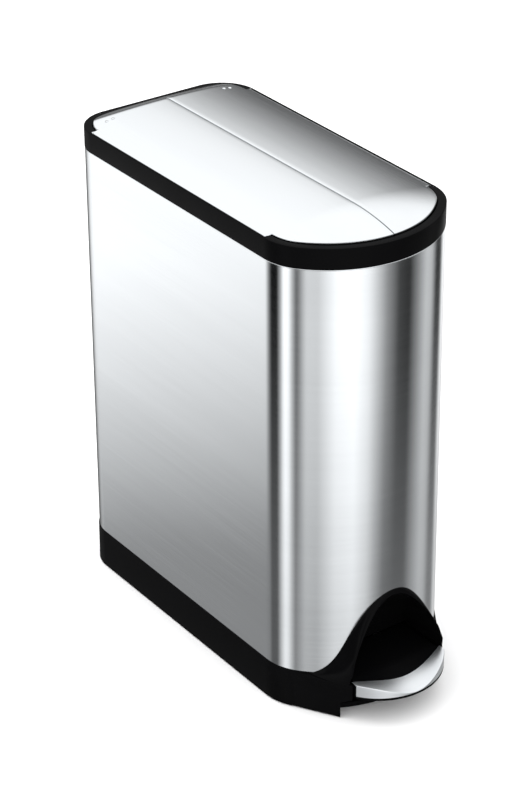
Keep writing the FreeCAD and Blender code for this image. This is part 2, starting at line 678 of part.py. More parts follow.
DAMPER_X = 32.0
DAMPER_Y = 240.0
DAMPER_Z = (300.0, 400.0)
DAMPER_R = 9.0
DAMPER_ROD_R = 2.5
PISTON_Z = 330.0
CLAMP_Z = (440.0, 448.0)


def damper_axis(r, z0, z1):
    """A cylinder on the damper's own axis."""
    return rod(r, (DAMPER_X, DAMPER_Y, z0), (DAMPER_X, DAMPER_Y, z1))


def damper_cylinder():
    low, high = DAMPER_Z
    tube = damper_axis(DAMPER_R, low, high).cut(damper_axis(DAMPER_R - 1.8, low + 3, high - 4))
    return tube.cut(damper_axis(DAMPER_ROD_R + 0.4, high - 10, high + 5))


def damper_rod():
    piston = damper_axis(DAMPER_R - 2.2, PISTON_Z, PISTON_Z + 6)
    return fused(piston, damper_axis(DAMPER_ROD_R, PISTON_Z + 6, CLAMP_Z[1] + 4))


def damper_bracket():
    parts = [box(DAMPER_X - 14, DAMPER_X + 14, GUIDE_BACK - 2.6, GUIDE_BACK, 304, 396)]
    for z in (312.0, 380.0):
        parts.append(damper_axis(12.0, z, z + 8))
        parts.append(box(DAMPER_X - 8, DAMPER_X + 8, DAMPER_Y, GUIDE_BACK - 2.4, z, z + 8))
    return fused(*parts).cut(damper_axis(DAMPER_R + 0.02, 290, 410))


def damper_clamp():
    low, high = CLAMP_Z
    arm = box(0, DAMPER_X, ROD_Y - 4, ROD_Y + 10, low, high)
    hub = rod(9.0, (0, ROD_Y, low - 4), (0, ROD_Y, high + 4))
    clamp = fused(arm, hub, damper_axis(6.0, low, high))
    clamp = clamp.cut(rod(ROD_R + 0.02, (0, ROD_Y, low - 10), (0, ROD_Y, high + 12)))
    return clamp.cut(damper_axis(DAMPER_ROD_R + 0.02, low - 10, high + 12))


# ---------------------------------------------------------------- right-hand lid, mirrored for the left

LEDGE_CLEAR = 0.4
RIVETS = [(86.0, 222.5), (96.0, 222.5)]
RIVET_HOLE_R = 1.55
FRAME_T = 2.4
FRAME_LOW = 645.0
SKIRT_LOW = 646.5         # lower edge of the skin's turned-down rim
CROSS_RIBS = (-140.0, -70.0, 0.0, 70.0, 140.0, 196.0)
LONG_RIBS = (40.0, 80.0)
ARM_Y = 221.5
ARM_T = 3.0


def lid_skin():
    outer = lid_plan(0.0, 640, 680).common(under_lid(0.0))
    inner = lid_plan(SHEET, 600, 690).common(under_lid(SHEET))
    skin = outer.cut(inner)
    skin = skin.cut(box(-200, 200, -300, NOTCH_FRONT + NOTCH_GAP - 0.01, 600, RIM_Z + LEDGE_CLEAR))
    skin = skin.cut(box(-200, 200, NOTCH_REAR - NOTCH_GAP + 0.01, 300, 600, RIM_Z + LEDGE_CLEAR))
    skin = skin.cut(box(-200, 200, -300, 300, 600, SKIRT_LOW))
    skin = skin.cut(box(HINGE_X - 1.7, HINGE_X + 1.7, -200, 250, 600, HINGE_Z + 1.7))
    for x, y in RIVETS:
        skin = skin.cut(rod(RIVET_HOLE_R, (x, y, 600), (x, y, 700)))
    return skin


def lid_frame():
    plan = lid_plan(SHEET + 0.05, 600, 690)
    outer = plan.common(under_lid(SHEET + 0.05)).cut(box(-200, 200, -300, 300, 500, FRAME_LOW))
    hollow = lid_plan(SHEET + FRAME_T, 600, 690).common(under_lid(SHEET + FRAME_T))
    frame = outer.cut(hollow)
    end = NOTCH_GAP + SHEET + 0.05
    beam = box(HINGE_X - 4.5, 140, NOTCH_FRONT + end, NOTCH_REAR - end, FRAME_LOW - 0.4, 660)
    beam = beam.common(plan).common(under_lid(SHEET + 0.1))
    ribs = [box(2, HINGE_X - 3, y - 1, y + 1, 649, 670) for y in CROSS_RIBS]
    ribs += [box(x - 1, x + 1, -245, 205, 649, 670) for x in LONG_RIBS]
    grid = [rib.common(lid_plan(SHEET + 1.5, 600, 690)).common(under_lid(SHEET + 1.0)) for rib in ribs]
    frame = fused(frame, beam, *grid)
    frame = frame.cut(box(70, 140, 213.6, 300, 600, 650.6))
    for y0, y1 in hinge_pin_spans():
        bore = rod(HINGE_PIN_R + PIVOT_CLEAR, (HINGE_X, y0 - 1, HINGE_Z), (HINGE_X, y1 + 1, HINGE_Z))
        frame = frame.cut(bore)
    for x, y in RIVETS:
        frame = frame.cut(rod(RIVET_HOLE_R, (x, y, 600), (x, y, 700)))
    return max(frame.Solids, key=lambda s: s.Volume)


def lid_arm():
    under = SHEET + FRAME_T
    pad = box(80, 104, 213, 231, 600, 690)
    flange = pad.common(under_lid(under + 0.05)).cut(pad.common(under_lid(under + 2.05)))
    px, pz = cam_point(0.0)
    profile = [(82, 651.6), (100, 650.2), (108, 640), (px + 4.4, pz + 2), (px + 3.4, pz - 3.6),
               (px - 1, pz - 5.2), (px - 6, pz - 2), (98, 636), (84, 645)]
    points = [V(x, ARM_Y, z) for x, z in profile]
    web = Part.Face(Part.makePolygon(points + points[:1])).extrude(V(0, ARM_T, 0))
    neck = box(83, 99.5, ARM_Y, ARM_Y + ARM_T, 645, 690).common(under_lid(under + 1.0))
    arm = fused(flange, web, neck)
    arm = arm.cut(rod(CAM_PIN_R + 0.01, (px, 200, pz), (px, 240, pz)))
    for x, y in RIVETS:
        arm = arm.cut(rod(RIVET_HOLE_R, (x, y, 649.0), (x, y, 700)))
    return arm


def cam_pin():
    px, pz = cam_point(0.0)
    return rod(CAM_PIN_R, (px, YOKE_Y[0] - 1.5, pz), (px, ARM_Y + ARM_T + 1, pz))


def lid_rivets(skin):
    rivets = []
    for x, y in RIVETS:
        top = lid_height(x, y)
        cap = box(x - 5, x + 5, y - 5, y + 5, top + 0.15, 700)
        head = Part.makeSphere(4.0, V(x, y, top - 3.1)).common(cap)
        shank = rod(1.5, (x, y, top - 4.6), (x, y, top + 0.3))
        rivets.append(head.fuse(shank).cut(skin))
    return rivets


# ---------------------------------------------------------------- bucket

def inner_bucket():
    rear = {"rear": BUCKET_REAR, "rear_r": BUCKET_REAR_R}
    low = BUCKET_INSET + BUCKET_TAPER
    outer = tapered(low, BUCKET_BOTTOM, BUCKET_INSET, BUCKET_TOP - 3, **rear)
    outer = outer.cut(arch_prism(ARCH_POINTS, ARCH_TOP, BUCKET_ARCH_GAP, -300, -197))
    high = BUCKET_INSET + BUCKET_WALL
    inner = tapered(low + BUCKET_WALL, BUCKET_BOTTOM + 3, high, BUCKET_TOP + 1, **rear)
    inner = inner.cut(arch_prism(ARCH_POINTS, ARCH_TOP, BUCKET_ARCH_GAP + BUCKET_WALL, -300, -194.5))
    rim = prism(BUCKET_RIM, BUCKET_TOP - 3, BUCKET_TOP, **rear)
    rim = rim.cut(prism(BUCKET_INSET + BUCKET_WALL, 590, 620, **rear))
    lip = prism(BUCKET_RIM, BUCKET_TOP - 0.2, BUCKET_TOP + 4, **rear)
    lip = lip.cut(prism(BUCKET_RIM + 2.2, 590, 620, **rear))
    return fused(outer.cut(inner), rim, lip)


# ---------------------------------------------------------------- make every piece

def main():
    base_solid = base()
    save("shell", shell())
    save("top_collar", top_collar())
    save("base", base_solid)
    save("pedal_hood", pedal_hood(base_solid))
    save("rubber_feet", *rubber_feet())
    save("base_screws", *base_screws())
    save("lid_bumpers", *lid_bumpers())
    save("left_hinge_pins", *[mirrored(p) for p in hinge_pins()])
    save("right_hinge_pins", *hinge_pins())
    save("right_axle_bracket", axle_bracket())
    save("left_axle_bracket", mirrored(axle_bracket()))
    save("lever_axle", lever_axle())
    save("axle_clips", *axle_clips())
    save("axle_spacers", *axle_spacers())
    save("lower_rod_guide", rod_guide(*GUIDES[0]))
    save("upper_rod_guide", rod_guide(*GUIDES[1]))
    save("rear_cover", rear_cover())
    save("cover_screws", *cover_screws())
    save("damper_cylinder", damper_cylinder())
    save("damper_bracket", damper_bracket())
    save("pedal_plate", pedal_plate())
    save("pedal_body", pedal_body())
    save("pedal_lever", pedal_lever())
    save("pedal_screws", *pedal_screws())
    save("lever_roller", lever_roller())
    save("roller_pin", roller_pin())
    save("lift_rod", lift_rod())
    save("rod_foot", rod_foot())
    save("lift_yoke", lift_yoke())
    save("rod_nut", rod_nut())
    save("damper_clamp", damper_clamp())
    save("damper_rod", damper_rod())
    skin = lid_skin()
    for side, place in (("right", lambda s: s), ("left", mirrored)):
        save(side + "_lid_skin", place(skin))
        save(side + "_lid_frame", place(lid_frame()))
        save(side + "_lid_arm", place(lid_arm()))
        save(side + "_cam_pin", place(cam_pin()))
        save(side + "_lid_rivets", *[place(r) for r in lid_rivets(skin)])
    save("inner_bucket", inner_bucket())


main()
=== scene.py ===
"""A slim pedal trash can: brushed steel body and two-flap lid, black collar, base and toe hood."""

import math

import bmesh
import bpy
from bpy.props import FloatProperty, FloatVectorProperty, PointerProperty
from bpy.types import Operator, Panel, PropertyGroup
from mathutils import Matrix, Vector
from mathutils.geometry import interpolate_bezier


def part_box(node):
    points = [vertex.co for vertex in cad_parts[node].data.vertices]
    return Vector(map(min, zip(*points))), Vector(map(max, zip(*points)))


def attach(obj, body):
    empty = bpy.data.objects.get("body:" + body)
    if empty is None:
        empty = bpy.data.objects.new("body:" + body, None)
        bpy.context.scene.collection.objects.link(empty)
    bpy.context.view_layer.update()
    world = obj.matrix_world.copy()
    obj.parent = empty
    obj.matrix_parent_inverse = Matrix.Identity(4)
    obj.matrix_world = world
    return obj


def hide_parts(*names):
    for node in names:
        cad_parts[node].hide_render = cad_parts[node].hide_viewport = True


bl_info = {
    "name": "Pedal trash can",
    "version": (1, 0, 0),
    "blender": (4, 5, 0),
    "location": "View3D > Sidebar > Trash can",
    "description": "Builds a slim pedal trash can with a two-flap lid around its packed frame",
    "category": "Add Mesh",
}

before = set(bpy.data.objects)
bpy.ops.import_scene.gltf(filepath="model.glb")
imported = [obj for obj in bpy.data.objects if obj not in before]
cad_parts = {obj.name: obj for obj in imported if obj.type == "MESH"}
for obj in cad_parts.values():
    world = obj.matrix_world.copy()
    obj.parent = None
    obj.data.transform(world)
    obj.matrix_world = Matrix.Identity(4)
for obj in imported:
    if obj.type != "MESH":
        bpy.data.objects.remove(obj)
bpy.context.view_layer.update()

COLLAR_LOW, COLLAR_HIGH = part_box("top_collar")
SHELL_LOW, SHELL_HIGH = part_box("shell")
BASE_LOW, BASE_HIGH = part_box("base")
PEDAL_LOW, PEDAL_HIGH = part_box("pedal_plate")
TAIL_LOW, TAIL_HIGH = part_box("pedal_body")
HALF_W = COLLAR_HIGH.x
FRONT_Y = COLLAR_LOW.y
REAR_Y = COLLAR_HIGH.y
RIM_Z = COLLAR_HIGH.z


# ---------------------------------------------------------------- values a user may change

def length(name, description, default):
    return FloatProperty(name=name, description=description, default=default, subtype="DISTANCE",
                         unit="LENGTH", precision=4)


def colour(name, description, default):
    return FloatVectorProperty(name=name, description=description, default=default, subtype="COLOR",
                               size=3, min=0.0, max=1.0)


class TrashCanSizes(PropertyGroup):
    front_radius: length("Front radius", "Radius of the body's curved front", 0.145)
    corner_radius: length("Corner radius", "Radius that joins the front to each side", 0.0709)
    rear_radius: length("Rear radius", "Radius of the rear corners", 0.0524)
    band_height: length("Collar height", "Height of the collar's outer band", 0.0274)
    ledge_width: length("Ledge width", "Width of the collar's ledge, front and rear", 0.011)
    ledge_front: length("Front ledge", "How far the ledge runs back from the front", 0.0972)
    ledge_rear: length("Rear ledge", "How far the ledge runs forward from the rear", 0.0505)
    sheet: length("Sheet", "Thickness of the steel sheet", 0.0008)
    base_height: length("Base height", "Top of the base band above the floor", 0.056)
    hood_height: length("Hood height", "Top of the toe hood above the floor", 0.164)
    lid_crown: length("Lid crown", "Top of the lids along the seam", 0.6636)
    lid_arch: length("Lid arch", "Radius of the lids' arch across the can", 0.572)
    tread_bite: length("Tread bite", "How far the tread's inner edge curves forward", 0.0205)
    lid_edge: length("Lid edge", "Radius of the lids' rolled edges", 0.0014)


class TrashCanFinishes(PropertyGroup):
    steel: colour("Steel", "Brushed stainless steel", (0.775, 0.80, 0.82))
    plastic: colour("Black plastic", "Collar, base and lid frames", (0.0022, 0.0022, 0.0024))
    bucket: colour("Bucket", "Inner bucket", (0.10, 0.105, 0.11))
    zinc: colour("Zinc", "Plated brackets, levers and screws", (0.55, 0.56, 0.58))
    nylon: colour("Nylon", "Rollers and spacers", (0.72, 0.70, 0.64))


class TrashCanStudio(PropertyGroup):
    ambient: FloatProperty(name="Ambient", description="Even light on matt surfaces", default=1.5)
    key_power: FloatProperty(name="Key", description="Power of the large key light", default=30.0,
                             unit="POWER")
    tent_radius: length("Tent radius", "Radius of the reflecting light tent", 1.0)
    floor_size: length("Floor", "Half the width of the floor", 12.0)


def sizes():
    return bpy.context.scene.trash_can_sizes


def finishes():
    return bpy.context.scene.trash_can_finishes


# ---------------------------------------------------------------- mesh helpers

FRONT_STEPS = 40
CORNER_STEPS = 28
REAR_STEPS = 26
SHELL_INSET = 0.0004
HIDDEN_Z = 0.0502         # where the base steps in to take the steel's lower edge


def run_to(bm, vert, point):
    """Draws a straight edge from vert to point and returns the new end."""
    end = bmesh.ops.extrude_vert_indiv(bm, verts=[vert])["verts"][0]
    end.co = point
    return end


def chain(bm, points):
    """Draws an open run of edges through points and returns the edges."""
    bm.edges.ensure_lookup_table()
    first = len(bm.edges)
    vert = bm.verts.new(points[0])
    for point in points[1:]:
        vert = run_to(bm, vert, point)
    bm.edges.ensure_lookup_table()
    return bm.edges[first:]


def verts_of(geometry):
    return [item for item in geometry if isinstance(item, bmesh.types.BMVert)]


def swing(bm, vert, centre, angle, steps):
    """Swings vert round an upright axis, drawing an arc, and returns the arc's end."""
    swung = bmesh.ops.spin(bm, geom=[vert], cent=centre, axis=(0, 0, 1), angle=angle, steps=steps)
    return verts_of(swung["geom_last"])[0]


def corner_centre():
    s = sizes()
    x = HALF_W - s.corner_radius
    front = FRONT_Y + s.front_radius
    y = front - math.sqrt((s.front_radius - s.corner_radius) ** 2 - x ** 2)
    return x, y, math.atan2(front - y, x)


def notch_front():
    return FRONT_Y + sizes().ledge_front


def notch_rear():
    return REAR_Y - sizes().ledge_rear


def half_outline(bm, inset, height, side=None, reach=0.0):
    """Draws the right half of the can's outline, front to rear, moved inwards by inset.

    side is the inset between the ledges, and reach shortens that stretch at both ends."""
    s = sizes()
    side = inset if side is None else side
    corner_x, corner_y, turn = corner_centre()
    rear_x = HALF_W - s.rear_radius
    rear_y = REAR_Y - s.rear_radius
    start, end = notch_front() + reach, notch_rear() - reach
    lift = math.asin(max(end - rear_y, 0.0) / (s.rear_radius - inset))
    bm.edges.ensure_lookup_table()
    first = len(bm.edges)
    vert = bm.verts.new((0, FRONT_Y + inset, height))
    vert = swing(bm, vert, (0, FRONT_Y + s.front_radius, height), math.pi / 2 - turn, FRONT_STEPS)
    vert = swing(bm, vert, (corner_x, corner_y, height), turn, CORNER_STEPS)
    support = 0.006
    rear_edge = rear_x + (s.rear_radius - inset) * math.cos(lift)
    for x, y in ((HALF_W - inset, start), (HALF_W - side, start), (HALF_W - side, start + support),
                 (HALF_W - side, end - support), (HALF_W - side, end), (rear_edge, end)):
        vert = run_to(bm, vert, (x, y, height))
    vert = swing(bm, vert, (rear_x, rear_y, height), math.pi / 2 - lift, REAR_STEPS)
    vert = run_to(bm, vert, (0.0006, REAR_Y - inset, height))
    run_to(bm, vert, (0, REAR_Y - inset, height))
    bm.edges.ensure_lookup_table()
    return bm.edges[first:]


def loft(bm, chains, closed=False):
    pairs = list(zip(chains, chains[1:]))
    if closed:
        pairs.append((chains[-1], chains[0]))
    for near, far in pairs:
        bmesh.ops.bridge_loops(bm, edges=list(near) + list(far))


def tidy(bm, gap=2e-6):
    """Merges doubles, removes faces with no area and turns every face outwards."""
    bmesh.ops.remove_doubles(bm, verts=bm.verts, dist=gap)
    bmesh.ops.dissolve_degenerate(bm, edges=bm.edges, dist=gap)
    bmesh.ops.recalc_face_normals(bm, faces=bm.faces)


def mirror_across(bm):
    """Completes a right half with its mirror image."""
    geometry = bm.verts[:] + bm.edges[:] + bm.faces[:]
    bmesh.ops.mirror(bm, geom=geometry, matrix=Matrix(), merge_dist=1e-6, axis="X")


def close_ends(bm):
    """Fills whatever openings are left once a lofted half has been mirrored."""
    tidy(bm)
    edges = [e for e in bm.edges if e.is_boundary]
    if edges:
        bmesh.ops.holes_fill(bm, edges=edges, sides=0)


def rounded(corners, steps=4):
    """A closed cross-section: each (inset, height, radius) corner becomes an arc of that radius."""
    section = []
    for i, (inset, height, radius) in enumerate(corners):
        here = Vector((inset, height))
        if radius == 0.0:
            section.append(here)
            continue
        before = (Vector(corners[i - 1][:2]) - here).normalized()
        after = (Vector(corners[(i + 1) % len(corners)][:2]) - here).normalized()
        half = before.angle(after) / 2
        centre = here + (before + after).normalized() * radius / math.sin(half)
        start = here + before * radius / math.tan(half)
        end = here + after * radius / math.tan(half)
        sweep = (start - centre).angle_signed(end - centre)
        for k in range(steps + 1):
            turned = (start - centre).copy()
            turned.rotate(Matrix.Rotation(-sweep * k / steps, 2))
            section.append(centre + turned)
    return section


def add_bmesh(bm, part):
    """Moves another bmesh's geometry into bm."""
    mesh = bpy.data.meshes.new("part")
    part.to_mesh(mesh)
    part.free()
    bm.from_mesh(mesh)
    bpy.data.meshes.remove(mesh)


def combine(bm, tool, operation):
    """Cuts or joins two closed shapes and returns the result."""
    bodies = []
    for part in (bm, tool):
        mesh = bpy.data.meshes.new("shape")
        part.to_mesh(mesh)
        part.free()
        body = bpy.data.objects.new("shape", mesh)
        bpy.context.scene.collection.objects.link(body)
        bodies.append(body)
    modifier = bodies[0].modifiers.new("shape", "BOOLEAN")
    modifier.object = bodies[1]
    modifier.operation = operation
    modifier.solver = "EXACT"
    result = bmesh.new()
    result.from_object(bodies[0], bpy.context.evaluated_depsgraph_get())
    for body in bodies:
        mesh = body.data
        bpy.data.objects.remove(body)
        bpy.data.meshes.remove(mesh)
    return result


def block(low, high):
    """A box between two corners, as a bmesh."""
    bm = bmesh.new()
    bmesh.ops.create_cube(bm, size=1.0)
    low, high = Vector(low), Vector(high)
    bmesh.ops.scale(bm, vec=high - low, verts=bm.verts)
    bmesh.ops.translate(bm, vec=(low + high) / 2, verts=bm.verts)
    return bm


def lathe(x, y, profile, steps=32):
    """Turns a profile of (radius, height) points about the upright axis at x, y."""
    bm = bmesh.new()
    edges = chain(bm, [Vector((x + r, y, h)) for r, h in profile])
    geometry = list(edges) + list(bm.verts)
    bmesh.ops.spin(bm, geom=geometry, cent=(x, y, 0), axis=(0, 0, 1), angle=2 * math.pi, steps=steps,
                   use_merge=True)
    tidy(bm)
    return bm


def soften(bm, edges, width, segments=3):
    bmesh.ops.bevel(bm, geom=edges, offset=width, offset_type="OFFSET", affect="EDGES", segments=segments,
                    profile=0.5, material=-1, clamp_overlap=True)


def make_piece(bm, name, body, slot, material, *nodes, sharp=32.0):
    """Turns a bmesh into a shaded piece that rides on body and stands for the given nodes."""
    tidy(bm)
    mesh = bpy.data.meshes.new(name)
    bm.to_mesh(mesh)
    bm.free()
    mesh.shade_smooth()
    mesh.set_sharp_from_angle(angle=math.radians(sharp))
    mesh.materials.append(material)
    piece = bpy.data.objects.new(name, mesh)
    bpy.context.scene.collection.objects.link(piece)
    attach(piece, body)
    if nodes:
        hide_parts(*nodes)
    return piece


# ---------------------------------------------------------------- shader helpers

def put(tree, node, key, value):
    """Sets one of a node's inputs, or links it where the value is another node's output."""
    if isinstance(value, bpy.types.NodeSocket):
        tree.links.new(value, node.inputs[key])
    else:
        node.inputs[key].default_value = value


def add_node(tree, kind, values=None, **settings):
    """Adds a shader node, with settings as its properties and values on its inputs."""
    node = tree.nodes.new(kind)
    for key, value in settings.items():
        setattr(node, key, value)
    for key, value in (values or {}).items():
        put(tree, node, key, value)
    return node


def new_group(name, inputs, outputs):
    tree = bpy.data.node_groups.new(name, "ShaderNodeTree")
    for label, kind, value in inputs:
        socket = tree.interface.new_socket(label, in_out="INPUT", socket_type=kind)
        if value is not None:
            socket.default_value = value
    for label in outputs:
        tree.interface.new_socket(label, in_out="OUTPUT", socket_type="NodeSocketFloat")
    return tree, tree.nodes.new("NodeGroupInput"), tree.nodes.new("NodeGroupOutput")


def noise(tree, vector, **values):
    """A noise texture's value; the names of its inputs are given in lower case."""
    inputs = {key.capitalize(): value for key, value in values.items()}
    return add_node(tree, "ShaderNodeTexNoise", {"Vector": vector, **inputs}).outputs["Fac"]


def spread(tree, source, low, high, start=0.0, end=1.0):
    """Maps source, as it goes from start to end, onto the range low to high."""
    values = {"Value": source, "From Min": start, "From Max": end, "To Min": low, "To Max": high}
    return add_node(tree, "ShaderNodeMapRange", values).outputs["Result"]


def mix(tree, kind, factor, first, second):
    values = {"Factor": factor, "A": first, "B": second}
    return add_node(tree, "ShaderNodeMix", values, data_type=kind).outputs["Result"]


def grain_group():
    """Long fine scratches with brighter flecks, drawn along whichever axes the mapping stretches."""
    if "Brushed grain" in bpy.data.node_groups:
        return bpy.data.node_groups["Brushed grain"]
    tree, start, end = new_group(
        "Brushed grain",
        [("Vector", "NodeSocketVector", None), ("Fleck", "NodeSocketFloat", 0.5)],
        ["Height", "Roughness", "Tint"])
    vector = start.outputs["Vector"]
    lines = noise(tree, vector, scale=1.0, detail=5.0, roughness=0.7)
    flecks = noise(tree, vector, scale=0.35, detail=2.0, roughness=0.6)
    clouds = noise(tree, vector, scale=0.012, detail=2.0)
    grain = mix(tree, "FLOAT", start.outputs["Fleck"], lines, flecks)
    half = add_node(tree, "ShaderNodeMath", {0: grain, 1: 0.5}, operation="MULTIPLY").outputs["Value"]
    blend = add_node(tree, "ShaderNodeMath", {0: clouds, 1: 0.5, 2: half}, operation="MULTIPLY_ADD")
    put(tree, end, "Height", grain)
    put(tree, end, "Roughness", spread(tree, grain, 0.0, 1.0, 0.35, 0.65))
    put(tree, end, "Tint", spread(tree, blend.outputs["Value"], 0.0, 1.0, 0.3, 0.7))
    return tree


def moulding_group():
    """The fine spark-eroded texture of moulded plastic, with faint flow marks."""
    if "Moulded skin" in bpy.data.node_groups:
        return bpy.data.node_groups["Moulded skin"]
    tree, start, end = new_group(
        "Moulded skin",
        [("Vector", "NodeSocketVector", None), ("Grain", "NodeSocketFloat", 1400.0)],
        ["Height", "Wear"])
    vector = start.outputs["Vector"]
    flow = noise(tree, vector, scale=14.0, detail=4.0, roughness=0.55)
    put(tree, end, "Height", noise(tree, vector, scale=start.outputs["Grain"], detail=3.0, roughness=0.6))
    put(tree, end, "Wear", spread(tree, flow, 0.0, 1.0, 0.3, 0.7))
    return tree


def start_material(name):
    """A new material, its node tree, its shader and the place of each point on the piece."""
    material = bpy.data.materials.new(name)
    material.use_nodes = True
    tree = material.node_tree
    place = add_node(tree, "ShaderNodeTexCoord")
    return material, tree, tree.nodes["Principled BSDF"], place.outputs["Object"]


def finish_shader(tree, shader, dark, light, tone, rough, wear, height, bump):
    """Feeds the shader's colour, roughness and bump from the outputs of a pattern group."""
    put(tree, shader, "Base Color", mix(tree, "RGBA", tone, (*dark, 1.0), (*light, 1.0)))
    put(tree, shader, "Roughness", spread(tree, wear, *rough))
    lumps = add_node(tree, "ShaderNodeBump", {"Height": height, "Strength": bump, "Distance": 0.0002})
    put(tree, shader, "Normal", lumps.outputs["Normal"])


def steel(name, base, stretch, rough, bump, tint, fleck=0.5, stretched=0.0, turn=0.0):
    """Brushed or ground metal; stretch gives how fine its grain is along X, Y and Z."""
    if name in bpy.data.materials:
        return bpy.data.materials[name]
    material, tree, shader, place = start_material(name)
    scale = add_node(tree, "ShaderNodeMapping", {"Vector": place, "Scale": stretch})
    grain = add_node(tree, "ShaderNodeGroup", node_tree=grain_group())
    put(tree, grain, "Vector", scale.outputs["Vector"])
    put(tree, grain, "Fleck", fleck)
    dark = [c * (1.0 - tint) for c in base]
    light = [min(c * (1.0 + tint), 1.0) for c in base]
    finish_shader(tree, shader, dark, light, grain.outputs["Tint"], rough, grain.outputs["Roughness"],
                  grain.outputs["Height"], bump)
    put(tree, shader, "Metallic", 1.0)
    put(tree, shader, "Anisotropic", stretched)
    put(tree, shader, "Anisotropic Rotation", turn)
    return material


def plastic(name, base, rough, level, grain=1400.0, bump=0.12, lift=1.25):
    """Moulded plastic or rubber with a fine texture; level is how strongly it reflects."""
    if name in bpy.data.materials:
        return bpy.data.materials[name]
    material, tree, shader, place = start_material(name)
    skin = add_node(tree, "ShaderNodeGroup", node_tree=moulding_group())
    put(tree, skin, "Vector", place)
    put(tree, skin, "Grain", grain)
    light = [c * lift for c in base]
    wear = skin.outputs["Wear"]
    finish_shader(tree, shader, base, light, wear, rough, wear, skin.outputs["Height"], bump)
    put(tree, shader, "Specular IOR Level", level)
    return material


def body_steel():
    return steel("Brushed body steel", finishes().steel, (7.0, 7.0, 900.0), (0.11, 0.17), 0.03, 0.06,
                 fleck=0.3, stretched=0.8, turn=0.25)


def lid_steel():
    return steel("Ground lid steel", finishes().steel, (900.0, 7.0, 900.0), (0.11, 0.17), 0.03, 0.05,
                 fleck=0.3)


def pedal_steel():
    return steel("Satin pedal steel", finishes().steel, (8.0, 1500.0, 1500.0), (0.36, 0.42), 0.01, 0.02)


def zinc_steel():
    return steel("Zinc plated steel", finishes().zinc, (60.0, 60.0, 60.0), (0.30, 0.46), 0.05, 0.12)


def bright_steel():
    return steel("Bright turned steel", finishes().steel, (240.0, 240.0, 240.0), (0.14, 0.24), 0.03, 0.04)


def damper_metal():
    return steel("Drawn damper metal", finishes().zinc, (30.0, 30.0, 700.0), (0.26, 0.38), 0.04, 0.08)


def black_plastic():
    return plastic("Black moulded plastic", finishes().plastic, (0.30, 0.42), 0.02)


def gloss_black():
    return plastic("Gloss black hood", finishes().plastic, (0.12, 0.2), 0.03, grain=500.0, bump=0.02)


def dark_moulding():
    return plastic("Dark moulding", (0.018, 0.018, 0.019), (0.45, 0.60), 0.35, grain=1100.0, bump=0.2)


def bucket_plastic():
    return plastic("Bucket plastic", finishes().bucket, (0.42, 0.56), 0.40, grain=900.0, bump=0.18)


def nylon():
    return plastic("White nylon", finishes().nylon, (0.34, 0.44), 0.5, grain=700.0, bump=0.08, lift=1.08)


def soft_rubber():
    return plastic("Soft rubber", (0.022, 0.022, 0.022), (0.70, 0.85), 0.25, grain=1600.0, bump=0.3)


# ---------------------------------------------------------------- outlines of the toe hood

def hood_profile():
    """The hood's outer arch and the edge of its mouth, as matching (x, height) points."""
    def curve(knots):
        points = []
        for a, b, c, d in knots:
            run = interpolate_bezier(Vector(a), Vector(b), Vector(c), Vector(d), 20)
            points += run if not points else run[1:]
        return points
    top = sizes().hood_height
    arch = curve((((0, top), (0.028, top), (0.0495, 0.1309), (0.0615, 0.1051)),
                  ((0.0615, 0.1051), (0.071, 0.0847), (0.080, 0.062), (0.100, 0.0545))))
    crown = top - 0.0075
    mouth = curve((((0, crown), (0.022, crown), (0.040, 0.132), (0.053, 0.112)),
                   ((0.053, 0.112), (0.064, 0.095), (0.073, 0.075), (0.075, 0.050))))
    return arch, mouth


def arch_height(arch, x):
    """Height of the hood's outer arch at a distance x from the centre, or 0 beyond its foot."""
    for (x0, z0), (x1, z1) in zip(arch, arch[1:]):
        if x0 <= x <= x1:
            return z0 + (z1 - z0) * (x - x0) / (x1 - x0)
    return 0.0


def front_face(x, inset):
    """Where the body's front surface, moved inwards by inset, lies at x."""
    s = sizes()
    corner_x, corner_y, turn = corner_centre()
    radius = s.front_radius - inset
    if x <= radius * math.cos(turn):
        return FRONT_Y + s.front_radius - math.sqrt(radius ** 2 - x ** 2)
    return corner_y - math.sqrt((s.corner_radius - inset) ** 2 - (x - corner_x) ** 2)


FLANGE_TURN = math.radians(-31.0)
FLANGE_TIP_Y = BASE_LOW.y
FLANGE_TIP_Z = 0.053
FOOT_X = 0.081            # front end of the part of the flange that reaches the floor
FLARE = 0.0006            # how far the base stands proud of the body at its top
PEDAL_GAP = 0.0725


def flange_start():
    s = sizes()
    corner_x, corner_y, _ = corner_centre()
    radius = s.corner_radius + FLARE
    return Vector((corner_x, corner_y)) + radius * Vector((math.cos(FLANGE_TURN), math.sin(FLANGE_TURN)))


def flange_face(x):
    """Where the flange's outer face lies at x."""
    start = flange_start()
    return start.y + (FLANGE_TIP_Y - start.y) * (start.x - x) / (start.x - PEDAL_GAP)


# ---------------------------------------------------------------- pieces

